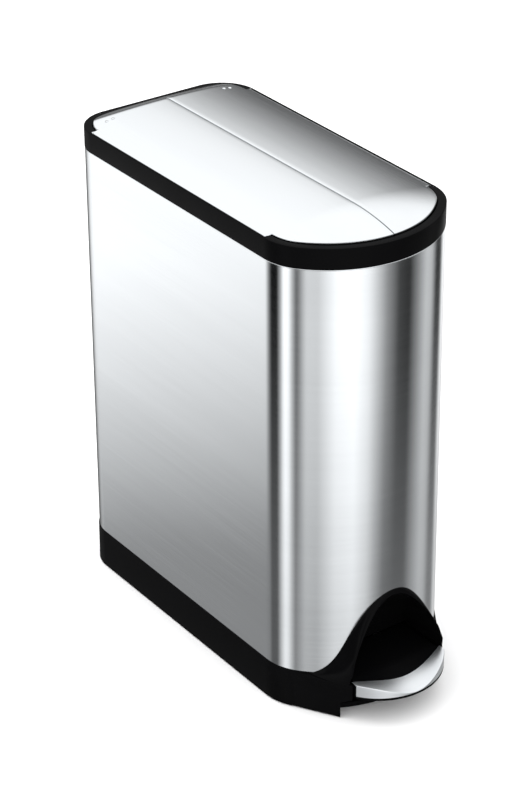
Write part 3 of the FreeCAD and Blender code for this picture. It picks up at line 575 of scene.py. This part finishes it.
class TRASHCAN_OT_shell(Operator):
    """Build the brushed steel body with its hemmed top edge, rear seam and arched front opening"""
    bl_idname = "trashcan.shell"
    bl_label = "Steel body"

    def execute(self, context):
        s = sizes()
        low, high = SHELL_LOW.z, RIM_Z - s.band_height - 0.0001
        outer, inner, proud = SHELL_INSET, SHELL_INSET + s.sheet, 0.0001
        hem = 0.0014
        seam_half, seam_depth = 0.0009, 0.0005
        arch, _ = hood_profile()
        bm = bmesh.new()
        section = [(outer, low), (outer, high - 2 * hem), (outer, high - hem), (proud, high - 0.7 * hem),
                   (proud, high - 0.25 * hem), (outer, high), (inner, high), (inner, high - hem),
                   (inner, low)]
        loft(bm, [half_outline(bm, inset, height) for inset, height in section], closed=True)
        for vert in bm.verts:
            if vert.co.y < 0 and vert.co.z < low + 1e-6:
                vert.co.z = max(low, arch_height(arch, vert.co.x) - 0.0012)
            if vert.co.x < 1e-6 and vert.co.y > REAR_Y - seam_half:
                vert.co.y -= seam_depth
        mirror_across(bm)
        make_piece(bm, "steel_body", "can_body", "body_steel", body_steel(), "shell")
        return {"FINISHED"}


class TRASHCAN_OT_collar(Operator):
    """Build the black collar with its front and rear ledges and the bosses for the lid pins"""
    bl_idname = "trashcan.collar"
    bl_label = "Top collar"

    def execute(self, context):
        s = sizes()
        wall, lip = 0.002, 0.0036
        band = RIM_Z - s.band_height
        under, shelf = RIM_Z - 0.003, band + 0.002
        tongue, seat = band - 0.0196, band - 0.0224
        section = rounded([
            (0.0, band, 0.0003), (0.0, RIM_Z, 0.0009), (s.ledge_width, RIM_Z, 0.0006),
            (s.ledge_width, under, 0.0003), (wall, under, 0), (wall, shelf, 0), (lip, shelf, 0),
            (lip, tongue, 0), (0.0115, tongue, 0), (0.0115, seat, 0), (0.0013, seat, 0), (0.0013, band, 0)])
        bm = bmesh.new()
        chains = []
        for inset, height in section:
            side = min(inset, wall) if height > band + 0.003 else None
            chains.append(half_outline(bm, inset, height, side))
        loft(bm, chains, closed=True)
        mirror_across(bm)
        tidy(bm)
        for y0, y1 in ((notch_front() - 0.012, notch_front() - 0.0001),
                       (notch_rear() + 0.0001, notch_rear() + 0.012)):
            for sign in (-1, 1):
                edge = (HALF_W - 0.0018) * sign
                inner = (HALF_W - s.ledge_width - 0.0015) * sign
                boss = block((min(edge, inner), y0, RIM_Z - 0.008), (max(edge, inner), y1, RIM_Z - 0.0028))
                soften(boss, boss.edges[:], 0.0006)
                add_bmesh(bm, boss)
        make_piece(bm, "top_collar_band", "can_body", "black_plastic", black_plastic(), "top_collar")
        return {"FINISHED"}


class TRASHCAN_OT_base(Operator):
    """Build the base band, its floor and the two flanges that run forward beside the pedal"""
    bl_idname = "trashcan.base"
    bl_label = "Base"

    def execute(self, context):
        s = sizes()
        low, high = BASE_LOW.z, s.base_height
        bm = bmesh.new()
        step, wall = SHELL_INSET - 0.0001, 0.0020
        section = rounded([
            (-0.0010, low, 0.0008), (-FLARE, high, 0.0006), (step, high, 0.0002), (step, HIDDEN_Z, 0),
            (wall, HIDDEN_Z, 0), (wall, low, 0.0004)])
        loft(bm, [half_outline(bm, inset, height) for inset, height in section], closed=True)
        mirror_across(bm)
        tidy(bm)
        gap = block((-PEDAL_GAP, FRONT_Y - 0.04, 0.009), (PEDAL_GAP, FRONT_Y + 0.07, 0.08))
        bm = combine(bm, gap, "DIFFERENCE")
        add_bmesh(bm, self.floor())
        add_bmesh(bm, self.flanges())
        make_piece(bm, "base_band", "can_body", "black_plastic", black_plastic(), "base")
        return {"FINISHED"}

    def floor(self):
        """The plate that closes the base from below."""
        bm = bmesh.new()
        half_outline(bm, 0.0016, 0.004)
        mirror_across(bm)
        bmesh.ops.remove_doubles(bm, verts=bm.verts, dist=1e-6)
        bottom = bmesh.ops.edgeloop_fill(bm, edges=bm.edges[:])["faces"]
        lifted = verts_of(bmesh.ops.extrude_face_region(bm, geom=bottom)["geom"])
        bmesh.ops.translate(bm, vec=(0, 0, 0.0025), verts=lifted)
        tidy(bm)
        return bm

    def flanges(self):
        """Both flanges: an outer face drawn from its outline, drawn inwards and softened."""
        start = flange_start()
        tip = Vector((PEDAL_GAP, FLANGE_TIP_Y))
        run = (tip - start).length
        foot_at = (Vector((FOOT_X, flange_face(FOOT_X))) - start).length / run
        outline = [(0.0, BASE_LOW.z), (foot_at, BASE_LOW.z), (foot_at, 0.0234), (1.0, 0.0315),
                   (1.0, FLANGE_TIP_Z)]
        top = interpolate_bezier(Vector((1.0, FLANGE_TIP_Z)), Vector((0.6, 0.0506)), Vector((0.25, 0.0510)),
                                 Vector((0.0, sizes().base_height)), 16)
        outline += [tuple(point) for point in top[1:]]
        corners = [start.lerp(tip, along).to_3d() + Vector((0, 0, height)) for along, height in outline]
        bm = bmesh.new()
        chain(bm, corners + corners[:1])
        bmesh.ops.remove_doubles(bm, verts=bm.verts, dist=1e-7)
        face = bmesh.ops.edgeloop_fill(bm, edges=bm.edges[:])["faces"]
        inner_start = start + Vector((-0.020, 0.004))
        inner_tip = Vector((PEDAL_GAP, FRONT_Y + 0.0215))
        for vert in verts_of(bmesh.ops.extrude_face_region(bm, geom=face)["geom"]):
            along = (vert.co.xy - start).length / run
            if vert.co.z > 0.045:
                vert.co.z = 0.0575 + 0.001 * along
            vert.co.xy = inner_start.lerp(inner_tip, along)
        bmesh.ops.recalc_face_normals(bm, faces=bm.faces)
        crease = [e for e in bm.edges if e.calc_face_angle(0.0) > math.radians(40)
                  and all(abs(v.co.y - flange_face(v.co.x)) < 0.001 for v in e.verts)]
        soften(bm, crease, 0.0009)
        mirrored = bm.copy()
        bmesh.ops.scale(mirrored, vec=(-1, 1, 1), verts=mirrored.verts)
        bmesh.ops.reverse_faces(mirrored, faces=mirrored.faces)
        add_bmesh(bm, mirrored)
        return bm


class TRASHCAN_OT_hood(Operator):
    """Build the glossy toe hood: a flared arch with a ridge round its scooped mouth"""
    bl_idname = "trashcan.hood"
    bl_label = "Toe hood"

    def execute(self, context):
        arch, mouth = hood_profile()
        columns = [self.column(a, m) for a, m in zip(arch, mouth)]
        bm = bmesh.new()
        loft(bm, [chain(bm, list(row)) for row in zip(*columns)], closed=True)
        mirror_across(bm)
        close_ends(bm)
        make_piece(bm, "toe_hood", "can_body", "gloss_black", gloss_black(), "pedal_hood", sharp=40)
        return {"FINISHED"}

    def column(self, arch_point, mouth_point):
        """One closed section of the hood, from the steel round the ridge and back along the scoop."""
        ax, az = arch_point
        mx, mz = mouth_point
        back, low, wall = FRONT_Y + 0.0585, 0.059, 0.003

        def lean(x, z):
            face = FRONT_Y - 0.0011 - 0.14 * (sizes().hood_height - z)
            return max(face, flange_face(x) + 0.0008) if x > 0.06 else face
        root = Vector((ax, front_face(ax, 0.0010), az))
        brow = Vector((ax, lean(ax, az), az))
        ridge = Vector((mx, lean(mx, mz), mz))
        outside = [root.lerp(brow, u).lerp(brow.lerp(ridge, u), u)
                   for u in (0, 0.12, 0.25, 0.4, 0.55, 0.7, 0.82)]

        def scoop(turn, grow):
            deep, upright = math.sin(turn), math.cos(turn)
            y = ridge.y + (back - ridge.y) * deep + grow * deep
            x = mx * (1 - 0.10 * deep + grow / 0.075)
            return Vector((x, y, low + (mz - low) * upright + grow * upright))
        turns = [math.radians(6 * k) for k in range(1, 16)]
        inside = [scoop(turn, 0.0) for turn in turns]
        before = ridge.lerp(outside[-1], min(0.0016 / max((ridge - outside[-1]).length, 1e-6), 0.8))
        after = ridge.lerp(inside[0], min(0.0016 / (ridge - inside[0]).length, 0.8))
        crest = [before.lerp(ridge, u).lerp(ridge.lerp(after, u), u) for u in (0, 0.25, 0.5, 0.75, 1)]
        outer = [scoop(turn, wall) for turn in reversed(turns[5:])]
        behind = Vector((ax, root.y + 0.004, az))
        return outside + crest + inside + outer + [behind]


class TRASHCAN_OT_pedal(Operator):
    """Build the pedal: a crescent steel plate with a folded apron over its black carrier"""
    bl_idname = "trashcan.pedal"
    bl_label = "Pedal"

    def execute(self, context):
        self.plate()
        self.carrier()
        return {"FINISHED"}

    def edge_y(self, x, inset=0.0):
        """The pedal's curved outer edge at x."""
        sag = 0.036
        radius = (PEDAL_HIGH.x ** 2 + sag ** 2) / (2 * sag)
        return PEDAL_LOW.y + radius - math.sqrt((radius - inset) ** 2 - x ** 2)

    def lip_z(self, x):
        """Height of the tread's front edge, which dips towards the middle."""
        lowest = 0.0405
        rise = 0.5 * (1 - math.cos(math.pi * min(x / PEDAL_HIGH.x, 1.0)))
        return lowest + (PEDAL_HIGH.z - lowest) * rise

    def offset(self, points, thick):
        """The same section moved inwards by thick, square to its own run."""
        moved = []
        for i, point in enumerate(points):
            along = points[min(i + 1, len(points) - 1)] - points[max(i - 1, 0)]
            square = Vector((0, -along.z, along.y)).normalized()
            moved.append(point + square * thick)
        return moved

    def plate(self):
        """The steel tread, from its inner edge over a soft fold to the apron's lower edge."""
        half, crown = PEDAL_HIGH.x, 0.0006
        thick = soft = 0.0011
        steps = 44
        columns = []
        for i in range(steps + 1):
            x = half * math.sin(math.pi / 2 * i / steps)
            crest = Vector((x, PEDAL_HIGH.y, PEDAL_HIGH.z))
            lip = Vector((x, self.edge_y(x), self.lip_z(x)))
            bite = sizes().tread_bite * (1 - (x / half) ** 2)
            crest = crest.lerp(lip, bite / (crest.y - lip.y))
            hem = Vector((x, self.edge_y(x), PEDAL_LOW.z))
            before = lip + (crest - lip).normalized() * soft
            after = lip - Vector((0, 0, min(soft, 0.45 * (lip.z - hem.z))))
            points = [crest.lerp(before, u / 8) + Vector((0, 0, crown * math.sin(math.pi * u / 8)))
                      for u in range(8)]
            points += [before.lerp(lip, u / 4).lerp(lip.lerp(after, u / 4), u / 4) for u in range(5)]
            points += [after.lerp(hem, u / 3) for u in range(1, 4)]
            columns.append(points + self.offset(points, thick)[::-1])
        bm = bmesh.new()
        loft(bm, [chain(bm, list(row)) for row in zip(*columns)], closed=True)
        mirror_across(bm)
        close_ends(bm)
        make_piece(bm, "pedal_tread", "pedal", "pedal_steel", pedal_steel(), "pedal_plate", sharp=40)

    def carrier(self):
        """The black carrier under the tread, hollow from below, with a flat tail under the hood."""
        under, wall, low = 0.0013, 0.0025, TAIL_LOW.z
        tail_y, joint_y, top = TAIL_HIGH.y, PEDAL_HIGH.y, TAIL_HIGH.z
        tail_half, front_half = PEDAL_HIGH.x - 0.0044, PEDAL_HIGH.x - 0.0006

        def section(share, inner):
            """One front-to-rear run of the outer surface, or of the hollow's surface."""
            step = wall if inner else 0.0
            points = []
            x = share * (tail_half - step)
            for y in (tail_y - step, tail_y - 0.020, joint_y + 0.012, joint_y + 0.003):
                points.append(Vector((x, y, top - step)))
            x = share * (front_half - step)
            crest = Vector((x, joint_y - 0.0004, top - under - step))
            edge = self.edge_y(x, 0.0013 + step)
            lip = Vector((x, edge, self.lip_z(x) - under - 0.7 * step))
            points += [crest.lerp(lip, u / 5) for u in range(6)]
            rim = PEDAL_LOW.z - 0.0002
            outer = edge if inner else self.edge_y(x, 0.0002)
            points += [Vector((x, edge, min(rim, lip.z))), Vector((x, outer, min(rim, lip.z) - 0.0003)),
                       Vector((x, outer, low + 0.0005)), Vector((x, outer + 0.0005 * (not inner), low))]
            return points

        steps = 32
        columns = []
        for i in range(steps + 2):
            share = math.sin(math.pi / 2 * min(i, steps) / steps)
            outer, inner = section(share, False), section(share, True)
            outer = [Vector((outer[0].x, outer[0].y, low))] + outer
            inner = [Vector((inner[0].x, inner[0].y, low))] + inner
            if i > steps:
                for point in outer + inner:
                    point.z = low
            columns.append(outer + inner[::-1])
        bm = bmesh.new()
        loft(bm, [chain(bm, list(row)) for row in zip(*columns)], closed=True)
        mirror_across(bm)
        close_ends(bm)
        make_piece(bm, "pedal_carrier", "pedal", "black_plastic", black_plastic(), "pedal_body", sharp=35)


class TRASHCAN_OT_lids(Operator):
    """Build the two arched steel flaps with rolled edges, and the rivets at their rear corners"""
    bl_idname = "trashcan.lids"
    bl_label = "Lids"

    def execute(self, context):
        for side, sign in (("right", 1), ("left", -1)):
            self.skin(side, sign)
            self.rivets(side, sign)
        return {"FINISHED"}

    def height(self, x, y):
        """Height of the flap's upper surface: an arch that rolls down in front and slopes down behind."""
        s = sizes()
        front_roll, front_radius = FRONT_Y + 0.0955, 0.330
        rear_roll, rear_radius, half_span = REAR_Y - 0.0435, 0.025, 0.101
        z = s.lid_crown - s.lid_arch + math.sqrt(s.lid_arch ** 2 - x ** 2)
        if y < front_roll:
            z -= front_radius - math.sqrt(front_radius ** 2 - (front_roll - y) ** 2)
        side = (x / half_span) ** 2
        past = y - rear_roll - 0.012 * side
        slope = 0.40 - 0.10 * side
        bend = slope * rear_radius
        if past > bend:
            z -= slope * (past - bend / 2)
        elif past > 0:
            z -= past ** 2 / (2 * rear_radius)
        return z

    def skin(self, side, sign):
        s = sizes()
        gap, seam, notch_gap = 0.001, 0.0006, 0.0008
        plan, side_plan = s.ledge_width + gap, 0.0033
        bm = bmesh.new()

        def ring(inset, drop=None, floor=None):
            """The outline and the seam edge of the flap, moved inwards by inset."""
            outer = half_outline(bm, plan + inset, 0.0, side_plan + inset, notch_gap + inset)
            verts = list(dict.fromkeys(v for e in outer for v in e.verts))
            for vert in verts:
                vert.co.x = max(vert.co.x, seam + inset)
                vert.co.z = self.level(vert.co, drop, floor)
            copied = bmesh.ops.duplicate(bm, geom=verts + list(outer))["geom"]
            inner = [item for item in copied if isinstance(item, bmesh.types.BMEdge)]
            for vert in verts_of(copied):
                vert.co.x = seam + inset
                vert.co.z = self.level(vert.co, drop, floor)
            return list(outer), inner

        edge, sheet = s.lid_edge, s.sheet
        turns = [math.pi / 2 * k / 5 for k in range(6)]
        rings = [ring(edge * (1 - math.sin(t)), edge * (1 - math.cos(t))) for t in turns]
        rings.append(ring(0.0, floor=True))
        rings.append(ring(sheet, floor=True))
        inner_edge = edge - sheet
        rings += [ring(sheet + inner_edge * (1 - math.sin(t)), sheet + inner_edge * (1 - math.cos(t)))
                  for t in reversed(turns[::2])]
        loft(bm, [r[0] for r in rings])
        loft(bm, [r[1] for r in rings])
        for (outer, inner), drop in ((rings[0], 0.0), (rings[-1], sheet)):
            before = set(bm.edges)
            bmesh.ops.bridge_loops(bm, edges=outer + inner)
            across = [e for e in bm.edges if e not in before]
            new = bmesh.ops.subdivide_edges(bm, edges=across, cuts=23, use_grid_fill=True)["geom_inner"]
            for vert in verts_of(new):
                vert.co.z = self.height(vert.co.x, vert.co.y) - drop
        if sign < 0:
            bmesh.ops.scale(bm, vec=(-1, 1, 1), verts=bm.verts)
        make_piece(bm, side + "_flap", side + "_lid", "lid_steel", lid_steel(), side + "_lid_skin",
                   sharp=45)

    def level(self, co, drop, floor):
        """Height of a ring's vertex: below the surface by drop, or at the flange's lower edge."""
        if floor is None:
            return self.height(co.x, co.y) - drop
        support = 0.004
        beside = notch_front() + support < co.y < notch_rear() - support and co.x > HALF_W - 0.008
        return RIM_Z - 0.0035 if beside else RIM_Z + 0.0004

    def rivets(self, side, sign):
        low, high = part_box(side + "_lid_rivets")
        radius, rise = 0.0025, 0.0009
        bm = bmesh.new()
        for x in (low.x + radius, high.x - radius):
            y = (low.y + high.y) / 2
            z = self.height(abs(x), y)
            profile = [(0.0, z + rise)]
            profile += [(radius * math.sin(math.radians(a)), z + rise * math.cos(math.radians(a)))
                        for a in (20, 40, 60, 75, 90)]
            profile += [(radius, z - 0.0006), (0.0, z - 0.0006)]
            add_bmesh(bm, lathe(x, y, profile))
        make_piece(bm, side + "_flap_rivets", side + "_lid", "bright_steel", bright_steel(),
                   side + "_lid_rivets")


class TRASHCAN_OT_feet(Operator):
    """Build the four rubber feet with rounded treads"""
    bl_idname = "trashcan.feet"
    bl_label = "Rubber feet"

    def execute(self, context):
        low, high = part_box("rubber_feet")
        bm = bmesh.new()
        radius = 0.010
        for x in (low.x + radius, high.x - radius):
            for y in (low.y + radius, high.y - radius):
                profile = [(0.0, 0.0006), (0.0030, 0.0006), (0.0038, 0.0), (0.0082, 0.0), (0.0089, 0.0003),
                           (0.0092, 0.0010), (0.0100, 0.0036), (0.0100, high.z), (0.0, high.z)]
                add_bmesh(bm, lathe(x, y, profile))
        make_piece(bm, "foot_pads", "can_body", "soft_rubber", soft_rubber(), "rubber_feet")
        return {"FINISHED"}


class TRASHCAN_OT_mechanism(Operator):
    """Give the bucket, lever, lift rod, hinges and fasteners their finishes"""
    bl_idname = "trashcan.mechanism"
    bl_label = "Bucket and mechanism"

    FINISHES = {
        black_plastic: ("left_lid_frame", "right_lid_frame"),
        dark_moulding: ("lower_rod_guide", "upper_rod_guide", "rear_cover", "damper_bracket",
                        "damper_clamp"),
        bucket_plastic: ("inner_bucket",),
        nylon: ("axle_spacers", "lever_roller", "rod_foot"),
        soft_rubber: ("lid_bumpers",),
        zinc_steel: ("base_screws", "cover_screws", "pedal_screws", "right_axle_bracket",
                     "left_axle_bracket", "axle_clips", "pedal_lever", "lift_yoke", "rod_nut",
                     "left_lid_arm", "right_lid_arm"),
        bright_steel: ("left_hinge_pins", "right_hinge_pins", "lever_axle", "roller_pin", "lift_rod",
                       "damper_rod", "left_cam_pin", "right_cam_pin"),
        damper_metal: ("damper_cylinder",),
    }

    def execute(self, context):
        for finish, names in self.FINISHES.items():
            for name in names:
                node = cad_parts[name]
                if not node.data.materials:
                    node.data.materials.append(None)
                for slot in node.material_slots:
                    slot.material = finish()
        return {"FINISHED"}


# ---------------------------------------------------------------- studio

# Brightness of the light tent by compass angle in degrees, at its upper height and at its lower one.
TENT_PANELS = (
    (-180, 0.42, 0.45), (-175, 1.0, 0.68), (-170, 1.15, 0.84), (-164, 1.0, 0.74), (-158, 0.50, 0.46),
    (-151, 0.14, 0.22), (-147, 0.16, 0.26), (-140, 0.66, 0.42), (-130, 0.64, 0.38), (-115, 1.05, 0.62),
    (-100, 1.15, 0.70), (-88, 0.92, 0.50), (-81, 0.62, 0.28), (-72, 0.28, 0.12), (-60, 0.05, 0.12),
    (-48, 0.02, 0.12), (-38, 0.22, 0.28), (-25, 0.54, 0.44), (-16, 0.48, 0.40), (-6, 0.03, 0.18),
    (5, 0.03, 0.18), (16, 0.95, 0.58), (30, 0.75, 0.46), (55, 0.20, 0.15), (92, 0.12, 0.10),
    (108, 0.85, 0.32), (120, 1.04, 0.25), (140, 0.94, 0.22), (150, 0.25, 0.20), (157, 0.0, 0.09),
    (172, 0.0, 0.09), (180, 0.42, 0.45))
TENT_LOW, TENT_HIGH = -0.42, 0.12
TENT_POWER = 1.25
# Brightness of the sky in polished surfaces, by the height of the direction above the horizon.
SKY_LEVELS = ((0.14, 0.08), (0.21, 0.20), (0.28, 0.34), (0.36, 0.60), (0.45, 0.90))


def tent_ramp(tree, turn, column):
    """Brightness round the tent, as a ramp over a whole turn."""
    ramp = add_node(tree, "ShaderNodeValToRGB", {"Fac": turn})
    stops = ramp.color_ramp.elements
    for panel in TENT_PANELS[1:-1]:
        stops.new((panel[0] + 180) / 360)
    for stop, panel in zip(stops, TENT_PANELS):
        stop.color = (panel[column], panel[column], panel[column], 1.0)
    return ramp.outputs["Color"]


def tent_material():
    material = bpy.data.materials.new("light_tent")
    material.use_nodes = True
    tree = material.node_tree
    tree.nodes.clear()
    place = add_node(tree, "ShaderNodeTexCoord")
    split = add_node(tree, "ShaderNodeSeparateXYZ", {"Vector": place.outputs["Object"]})
    angle = add_node(tree, "ShaderNodeMath", {0: split.outputs["Y"], 1: split.outputs["X"]},
                     operation="ARCTAN2")
    turn = spread(tree, angle.outputs["Value"], 0.0, 1.0, -math.pi, math.pi)
    rise = spread(tree, split.outputs["Z"], 0.0, 1.0, TENT_LOW, TENT_HIGH)
    shade = mix(tree, "RGBA", rise, tent_ramp(tree, turn, 2), tent_ramp(tree, turn, 1))
    glow = add_node(tree, "ShaderNodeEmission", {"Color": shade, "Strength": TENT_POWER})
    add_node(tree, "ShaderNodeOutputMaterial", {"Surface": glow.outputs["Emission"]})
    return material


def floor_material():
    material, tree, shader, place = start_material("studio_floor")
    speckle = noise(tree, place, scale=3.0, detail=3.0)
    pale, paler = (0.92, 0.92, 0.925, 1.0), (0.95, 0.95, 0.95, 1.0)
    put(tree, shader, "Base Color", mix(tree, "RGBA", speckle, pale, paler))
    put(tree, shader, "Roughness", 0.9)
    put(tree, shader, "Specular IOR Level", 0.0)
    return material


def studio_world():
    """White to the eye, even for matt surfaces, and brighter overhead for polished ones."""
    world = bpy.data.worlds.new("studio")
    bpy.context.scene.world = world
    world.use_nodes = True
    tree = world.node_tree
    tree.nodes.clear()
    place = add_node(tree, "ShaderNodeTexCoord")
    split = add_node(tree, "ShaderNodeSeparateXYZ", {"Vector": place.outputs["Generated"]})
    ramp = add_node(tree, "ShaderNodeValToRGB", {"Fac": split.outputs["Z"]})
    stops = ramp.color_ramp.elements
    stops[0].position, stops[0].color = 0.0, (0.03, 0.032, 0.035, 1)
    stops[1].position, stops[1].color = 0.56, (1.0, 1.0, 1.0, 1)
    for position, level in SKY_LEVELS:
        stops.new(position).color = (level, level, level, 1)
    path = add_node(tree, "ShaderNodeLightPath")

    def sky(tone, strength):
        values = {"Color": tone, "Strength": strength}
        return add_node(tree, "ShaderNodeBackground", values).outputs["Background"]

    def choose(test, otherwise, chosen):
        values = {"Fac": path.outputs[test], 1: otherwise, 2: chosen}
        return add_node(tree, "ShaderNodeMixShader", values).outputs["Shader"]
    matt = sky((1, 1, 1, 1), bpy.context.scene.trash_can_studio.ambient)
    lit = choose("Is Glossy Ray", matt, sky(ramp.outputs["Color"], TENT_POWER))
    shown = choose("Is Camera Ray", lit, sky((1, 1, 1, 1), 1.0))
    add_node(tree, "ShaderNodeOutputWorld", {"Surface": shown})


class TRASHCAN_OT_stage(Operator):
    """Set up the pale floor, the soft lights, the light tent and the camera"""
    bl_idname = "trashcan.stage"
    bl_label = "Studio"

    def execute(self, context):
        scene = context.scene
        studio = scene.trash_can_studio
        scene.view_settings.view_transform = "Standard"
        self.camera(scene)
        self.floor(studio)
        self.tent(studio)
        self.key(studio)
        studio_world()
        return {"FINISHED"}

    def camera(self, scene):
        spot = Vector((-1.78475, -2.48178, 2.01284))
        across, down, roll = math.radians(-35.251), math.radians(28.68), math.radians(-0.323)
        level = Vector((math.sin(across), -math.cos(across), 0))
        back = level * math.cos(down) + Vector((0, 0, math.sin(down)))
        right = Vector((math.cos(across), math.sin(across), 0))
        up = back.cross(right)
        turned_right = right * math.cos(roll) + up * math.sin(roll)
        turned_up = up * math.cos(roll) - right * math.sin(roll)
        data = bpy.data.cameras.new("camera")
        data.lens = 121.78
        data.sensor_width = 36.0
        data.shift_x, data.shift_y = 0.0031, -0.00995
        data.clip_end = 60.0
        camera = bpy.data.objects.new("camera", data)
        place = Matrix((turned_right, turned_up, back)).transposed().to_4x4()
        place.translation = spot
        camera.matrix_world = place
        scene.collection.objects.link(camera)
        scene.camera = camera

    def floor(self, studio):
        bm = bmesh.new()
        bmesh.ops.create_grid(bm, x_segments=2, y_segments=2, size=studio.floor_size)
        floor = self.stand(bm, "floor", floor_material())
        floor.visible_glossy = False

    def tent(self, studio):
        bm = bmesh.new()
        wall = chain(bm, [Vector((studio.tent_radius, 0, z)) for z in (-1.2, -0.6, 0.0, 0.7)])
        geometry = list(wall) + list(dict.fromkeys(v for e in wall for v in e.verts))
        bmesh.ops.spin(bm, geom=geometry, cent=(0, 0, 0), axis=(0, 0, 1), angle=2 * math.pi, steps=96,
                       use_merge=True)
        tent = self.stand(bm, "light_tent", tent_material())
        tent.visible_camera = False
        tent.visible_diffuse = False
        tent.visible_shadow = False
        tent.visible_transmission = False

    def stand(self, bm, name, material):
        mesh = bpy.data.meshes.new(name)
        bm.to_mesh(mesh)
        bm.free()
        mesh.materials.append(material)
        item = bpy.data.objects.new(name, mesh)
        bpy.context.scene.collection.objects.link(item)
        return item

    def key(self, studio):
        data = bpy.data.lights.new("key", "AREA")
        data.energy = studio.key_power
        data.size = 2.2
        key = bpy.data.objects.new("key", data)
        spot = Vector((-0.9, 1.1, 2.8))
        key.location = spot
        key.rotation_euler = (spot - Vector((0, -0.1, 0))).to_track_quat("Z", "Y").to_euler()
        key.visible_glossy = False
        bpy.context.scene.collection.objects.link(key)


# ---------------------------------------------------------------- panel and registration

OPERATORS = (TRASHCAN_OT_stage, TRASHCAN_OT_shell, TRASHCAN_OT_collar, TRASHCAN_OT_base, TRASHCAN_OT_hood,
             TRASHCAN_OT_pedal, TRASHCAN_OT_lids, TRASHCAN_OT_feet, TRASHCAN_OT_mechanism)


class TRASHCAN_PT_sidebar(Panel):
    """Lists the can's sizes, finishes and pieces"""
    bl_idname = "TRASHCAN_PT_sidebar"
    bl_label = "Trash can"
    bl_space_type = "VIEW_3D"
    bl_region_type = "UI"
    bl_category = "Trash can"

    def draw(self, context):
        for group in (context.scene.trash_can_sizes, context.scene.trash_can_finishes,
                      context.scene.trash_can_studio):
            for name in group.__annotations__:
                self.layout.prop(group, name)
        for operator in OPERATORS:
            self.layout.operator(operator.bl_idname)


CLASSES = (TrashCanSizes, TrashCanFinishes, TrashCanStudio, *OPERATORS, TRASHCAN_PT_sidebar)


def register():
    for item in CLASSES:
        bpy.utils.register_class(item)
    bpy.types.Scene.trash_can_sizes = PointerProperty(type=TrashCanSizes)
    bpy.types.Scene.trash_can_finishes = PointerProperty(type=TrashCanFinishes)
    bpy.types.Scene.trash_can_studio = PointerProperty(type=TrashCanStudio)


def unregister():
    del bpy.types.Scene.trash_can_studio
    del bpy.types.Scene.trash_can_finishes
    del bpy.types.Scene.trash_can_sizes
    for item in reversed(CLASSES):
        bpy.utils.unregister_class(item)


def main():
    register()
    bpy.ops.trashcan.stage()
    bpy.ops.trashcan.shell()
    bpy.ops.trashcan.collar()
    bpy.ops.trashcan.base()
    bpy.ops.trashcan.hood()
    bpy.ops.trashcan.pedal()
    bpy.ops.trashcan.lids()
    bpy.ops.trashcan.feet()
    bpy.ops.trashcan.mechanism()


if __name__ == "__main__":
    main()
